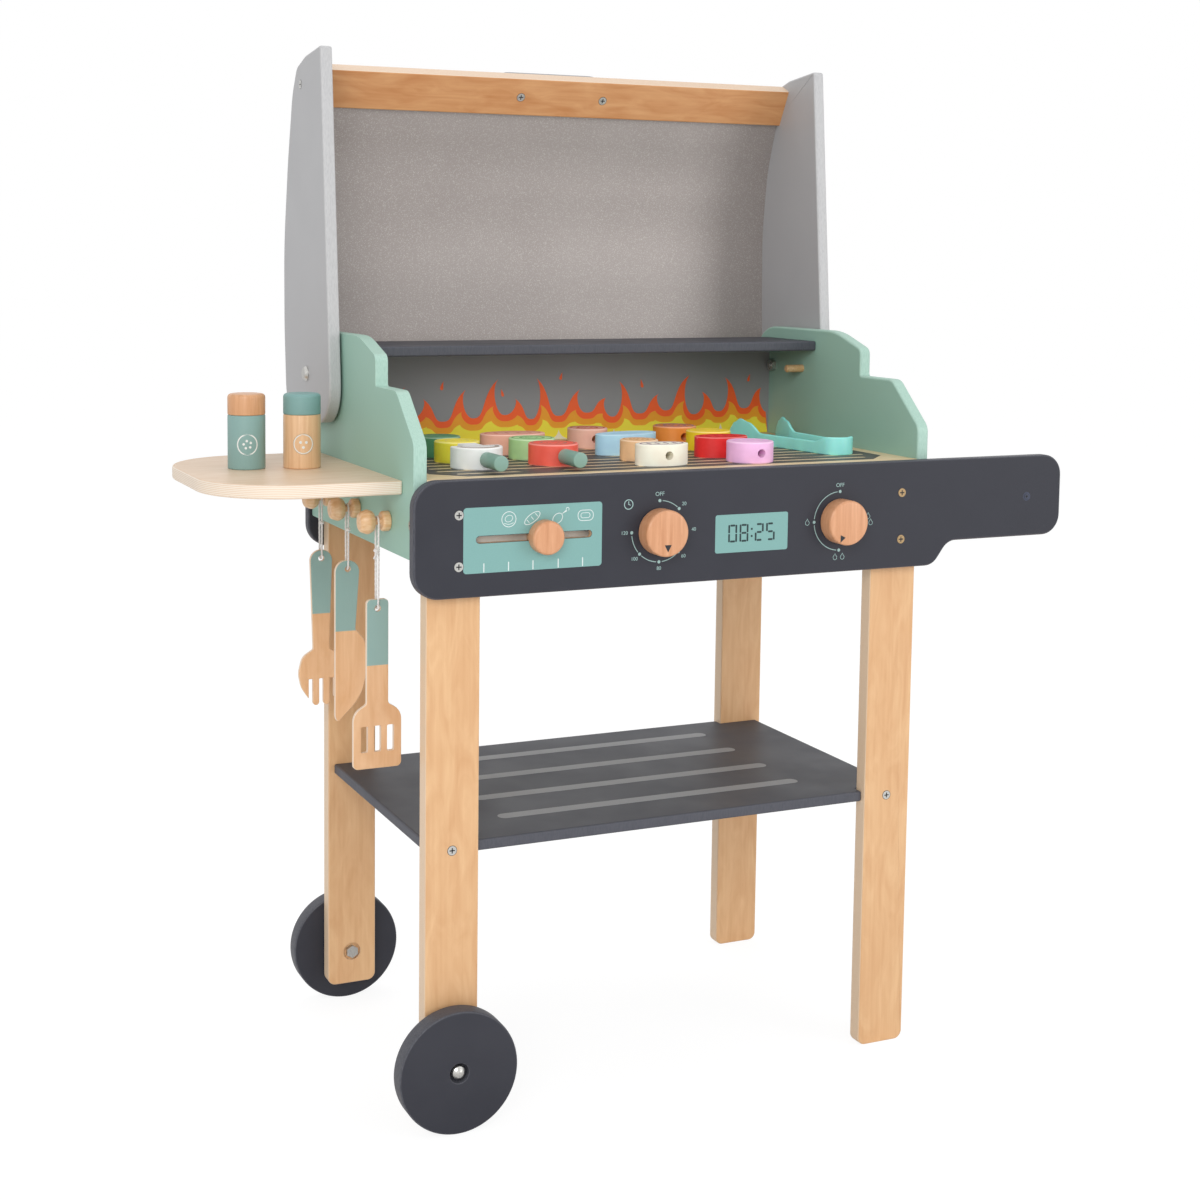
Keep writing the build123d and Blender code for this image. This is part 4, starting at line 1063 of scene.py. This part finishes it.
def flameLayer(share, valley):
    # One closed shape of S-shaped tongues with round valleys between them. share is the tongues' height
    # against the tallest layer, valley the height of the lowest valley.
    places = [(flames["left"], valley)]
    for i, (first, second) in enumerate(zip(tongues, tongues[1:])):
        places.append(((first[0] + second[0]) / 2, valley + 2.5 * (i % 3)))
    places.append((flames["right"], valley))
    points = [(flames["left"], flames["foot"])]
    for i, (x, rise, lean) in enumerate(tongues):
        (ax, az), (bx, bz) = places[i], places[i + 1]
        rise = rise * share
        wide = (bx - ax) / flames["width"]
        left, right = [(3, 9, 0.6), (7, 1, 0.68)][::1 if lean > 0 else -1]
        tip = (x + lean * share, valley + rise)
        points += bezier((ax, az), (x - left[0] * wide, az - 1),
                         (x - left[1] * wide, az + rise * left[2]), tip)
        points += bezier(tip, (x + right[1] * wide, bz + rise * right[2]), (x + right[0] * wide, bz - 1),
                         (bx, bz))
    return points + [(flames["right"], flames["foot"])]


def spark(x, z, high, lean):
    # A loose drop of flame with its point up.
    return (bezier((x, z), (x - high * 0.35, z), (x - high * 0.2, z + high * 0.5), (x + lean, z + high))
            + bezier((x + lean, z + high), (x + high * 0.1, z + high * 0.5), (x + high * 0.35, z), (x, z)))


def paleTip(x, z):
    # The bright heart at the foot of a flame.
    foot = flames["foot"]
    return ([(x - 13, foot)] + bezier((x - 13, foot), (x - 4, 575), (x - 1, 578), (x, z))
            + bezier((x, z), (x + 2, 578), (x + 6, 575), (x + 13, foot)))


def onWall(x, z, out):
    return at(x, wallFace - out, z)


sparks = [(118, 628, 9, 2), (185, 620, 8, -2), (250, 636, 8, 2), (345, 626, 9, -2), (474, 630, 8, 2)]
paleTips = [(56, 583), (120, 584), (190, 585), (248, 584), (312, 583), (374, 584), (440, 585)]
layers = {
    "Red": ("#fb6426", 0.12, [flameLayer(1, 596)] + [spark(*place) for place in sparks]),
    "Orange": ("#f6a528", 0.18, [flameLayer(0.5, 589.5)]),
    "Yellow": ("#fbea44", 0.24, [flameLayer(0.28, 583.5)]),
    "Pale": ("#efe9cf", 0.3, [paleTip(*place) for place in paleTips]),
}
for name, (colour, thick, loops) in layers.items():
    printed("flames" + name, inkFinish("flame" + name + "Ink", colour, 0.1), onWall, loops, thick=thick,
            slot="grey_paint")
print("flames printed")


# Screw heads, set by Geometry Nodes on points that carry their outward direction

def screwTree():
    tree = bpy.data.node_groups.new("screwHeads", "GeometryNodeTree")
    sizes = {"Head Radius": 0.0041, "Head Height": 0.0005, "Cross Length": 0.0048, "Cross Width": 0.0011}
    kinds = {"Geometry": "Geometry", **dict.fromkeys(sizes, "Float"), "Metal": "Material",
             "Recess": "Material"}
    for name, kind in kinds.items():
        socket = tree.interface.new_socket(name, in_out="INPUT", socket_type="NodeSocket" + kind)
        if name in sizes:
            socket.default_value = sizes[name]
    tree.interface.new_socket("Geometry", in_out="OUTPUT", socket_type="NodeSocketGeometry")
    given = addNode(tree, "NodeGroupInput").outputs

    def scaled(name, share):
        return maths(tree, "MULTIPLY", given[name], share)

    def made(kind, inputs=(), **settings):
        return addNode(tree, "GeometryNode" + kind, inputs, **settings).outputs[0]

    def cylinder(radius, depth):
        return made("MeshCylinder", {"Vertices": 28, "Radius": radius, "Depth": depth})

    def joined(*parts):
        join = addNode(tree, "GeometryNodeJoinGeometry")
        for part in parts:
            tree.links.new(part, join.inputs[0])
        return join.outputs[0]

    # The dark disc a little wider than the head and the dark cross are painted shade: the gap round the
    # head and the cross recess.
    dark = [cylinder(scaled("Head Radius", 1.1), scaled("Head Height", 0.5))]
    for first, second in (("Cross Length", "Cross Width"), ("Cross Width", "Cross Length")):
        size = addNode(tree, "ShaderNodeCombineXYZ", {0: given[first], 1: given[second],
                                                      2: scaled("Head Height", 1.08)})
        dark.append(made("MeshCube", {"Size": size.outputs[0]}))
    marked = made("StoreNamedAttribute", {"Geometry": joined(*dark), "Name": "recess", "Value": True},
                  data_type="BOOLEAN", domain="FACE")
    head = joined(cylinder(given["Head Radius"], given["Head Height"]), marked)
    outward = made("InputNamedAttribute", {"Name": "outward"}, data_type="FLOAT_VECTOR")
    turn = addNode(tree, "FunctionNodeAlignRotationToVector", {"Vector": outward}, axis="Z")
    points = made("InstanceOnPoints", {"Points": given["Geometry"], "Instance": head,
                                       "Rotation": turn.outputs[0]})
    real = made("RealizeInstances", {"Geometry": points})
    plated = made("SetMaterial", {"Geometry": real, "Material": given["Metal"]})
    inRecess = made("InputNamedAttribute", {"Name": "recess"}, data_type="BOOLEAN")
    darkened = made("SetMaterial", {"Geometry": plated, "Selection": inRecess, "Material": given["Recess"]})
    addNode(tree, "NodeGroupOutput", {"Geometry": darkened})
    return tree


def setScrews(name, places, metal, body, slot, radius=4.1):
    mesh = bpy.data.meshes.new(name)
    mesh.from_pydata([place for place, way in places], [], [])
    outward = mesh.attributes.new("outward", "FLOAT_VECTOR", "POINT")
    for item, (place, way) in zip(outward.data, places):
        item.vector = way
    holder = placed(name, mesh)
    modifier = holder.modifiers.new("screws", "NODES")
    modifier.node_group = screwHeads
    values = {"Head Radius": radius / 1000, "Cross Length": radius * 1.2 / 1000, "Metal": metal,
              "Recess": recessShade}
    for socket in screwHeads.interface.items_tree:
        if socket.in_out == "INPUT" and socket.name in values:
            modifier[socket.identifier] = values[socket.name]
    result = evaluatedMesh(holder)
    settle(result)
    return addPiece(name, result, None, body, slot)


screwHeads = screwTree()
front, rear = (0, -1, 0), (0, 1, 0)
legs, panelHeights, shelfHeight, sideHeight, armX = (25, 475), (499.5, 544), 247.6, 534, 621
silverPlaces = [(at(legs[0], panelFace, z), front) for z in panelHeights]
silverPlaces += [(at(x, rearFace, z), rear) for x in legs for z in panelHeights]
silverPlaces += [(at(x, y, shelfHeight), way) for x in legs for y, way in ((0, front), (297, rear))]
silverPlaces += [(at(x, y, sideHeight), (way, 0, 0))
                 for x, way in ((-12, -1), (512, 1)) for y in (7.5, 289.5)]
brassPlaces = [(at(legs[1], panelFace, z), front) for z in panelHeights]
handlePlaces = [(at(armX, y, sideHeight), way) for y, way in ((panelFace, front), (rearFace, rear))]
setScrews("silverScrewHeads", silverPlaces, steel, "cart", "steel")
setScrews("brassScrewHeads", brassPlaces, brass, "cart", "brass")
setScrews("handleScrewHeads", handlePlaces, darkSteel, "cart", "brass", 2.6)

pivotY, pivotZ, pivotAbove = 268, 648, 73.4
railMiddle, railHalf = (67.5, 280.5), 7.5


def onHood(x, back, up):
    # Point in the open hood's own frame: up along its rim, back from it.
    footY, footZ = pivotY - pivotAbove * math.cos(hoodLean), pivotZ + pivotAbove * math.sin(hoodLean)
    return at(x, footY + back * math.cos(hoodLean) + up * math.sin(hoodLean),
              footZ - back * math.sin(hoodLean) + up * math.cos(hoodLean))


railIn = tuple(-c for c in railOut)
railFace = around(*railMiddle, -railHalf, railTilt)
gripPlaces = [(onHood(x, *railFace), railIn) for x in (204, 296)]
railPlaces = [(onHood(x, *railMiddle), (way, 0, 0)) for x, way in ((-26, -1), (526, 1))]
setScrews("gripScrewHeads", gripPlaces, steel, "hood", "steel")
setScrews("railScrewHeads", railPlaces, steel, "hood", "steel")
print("screws set")
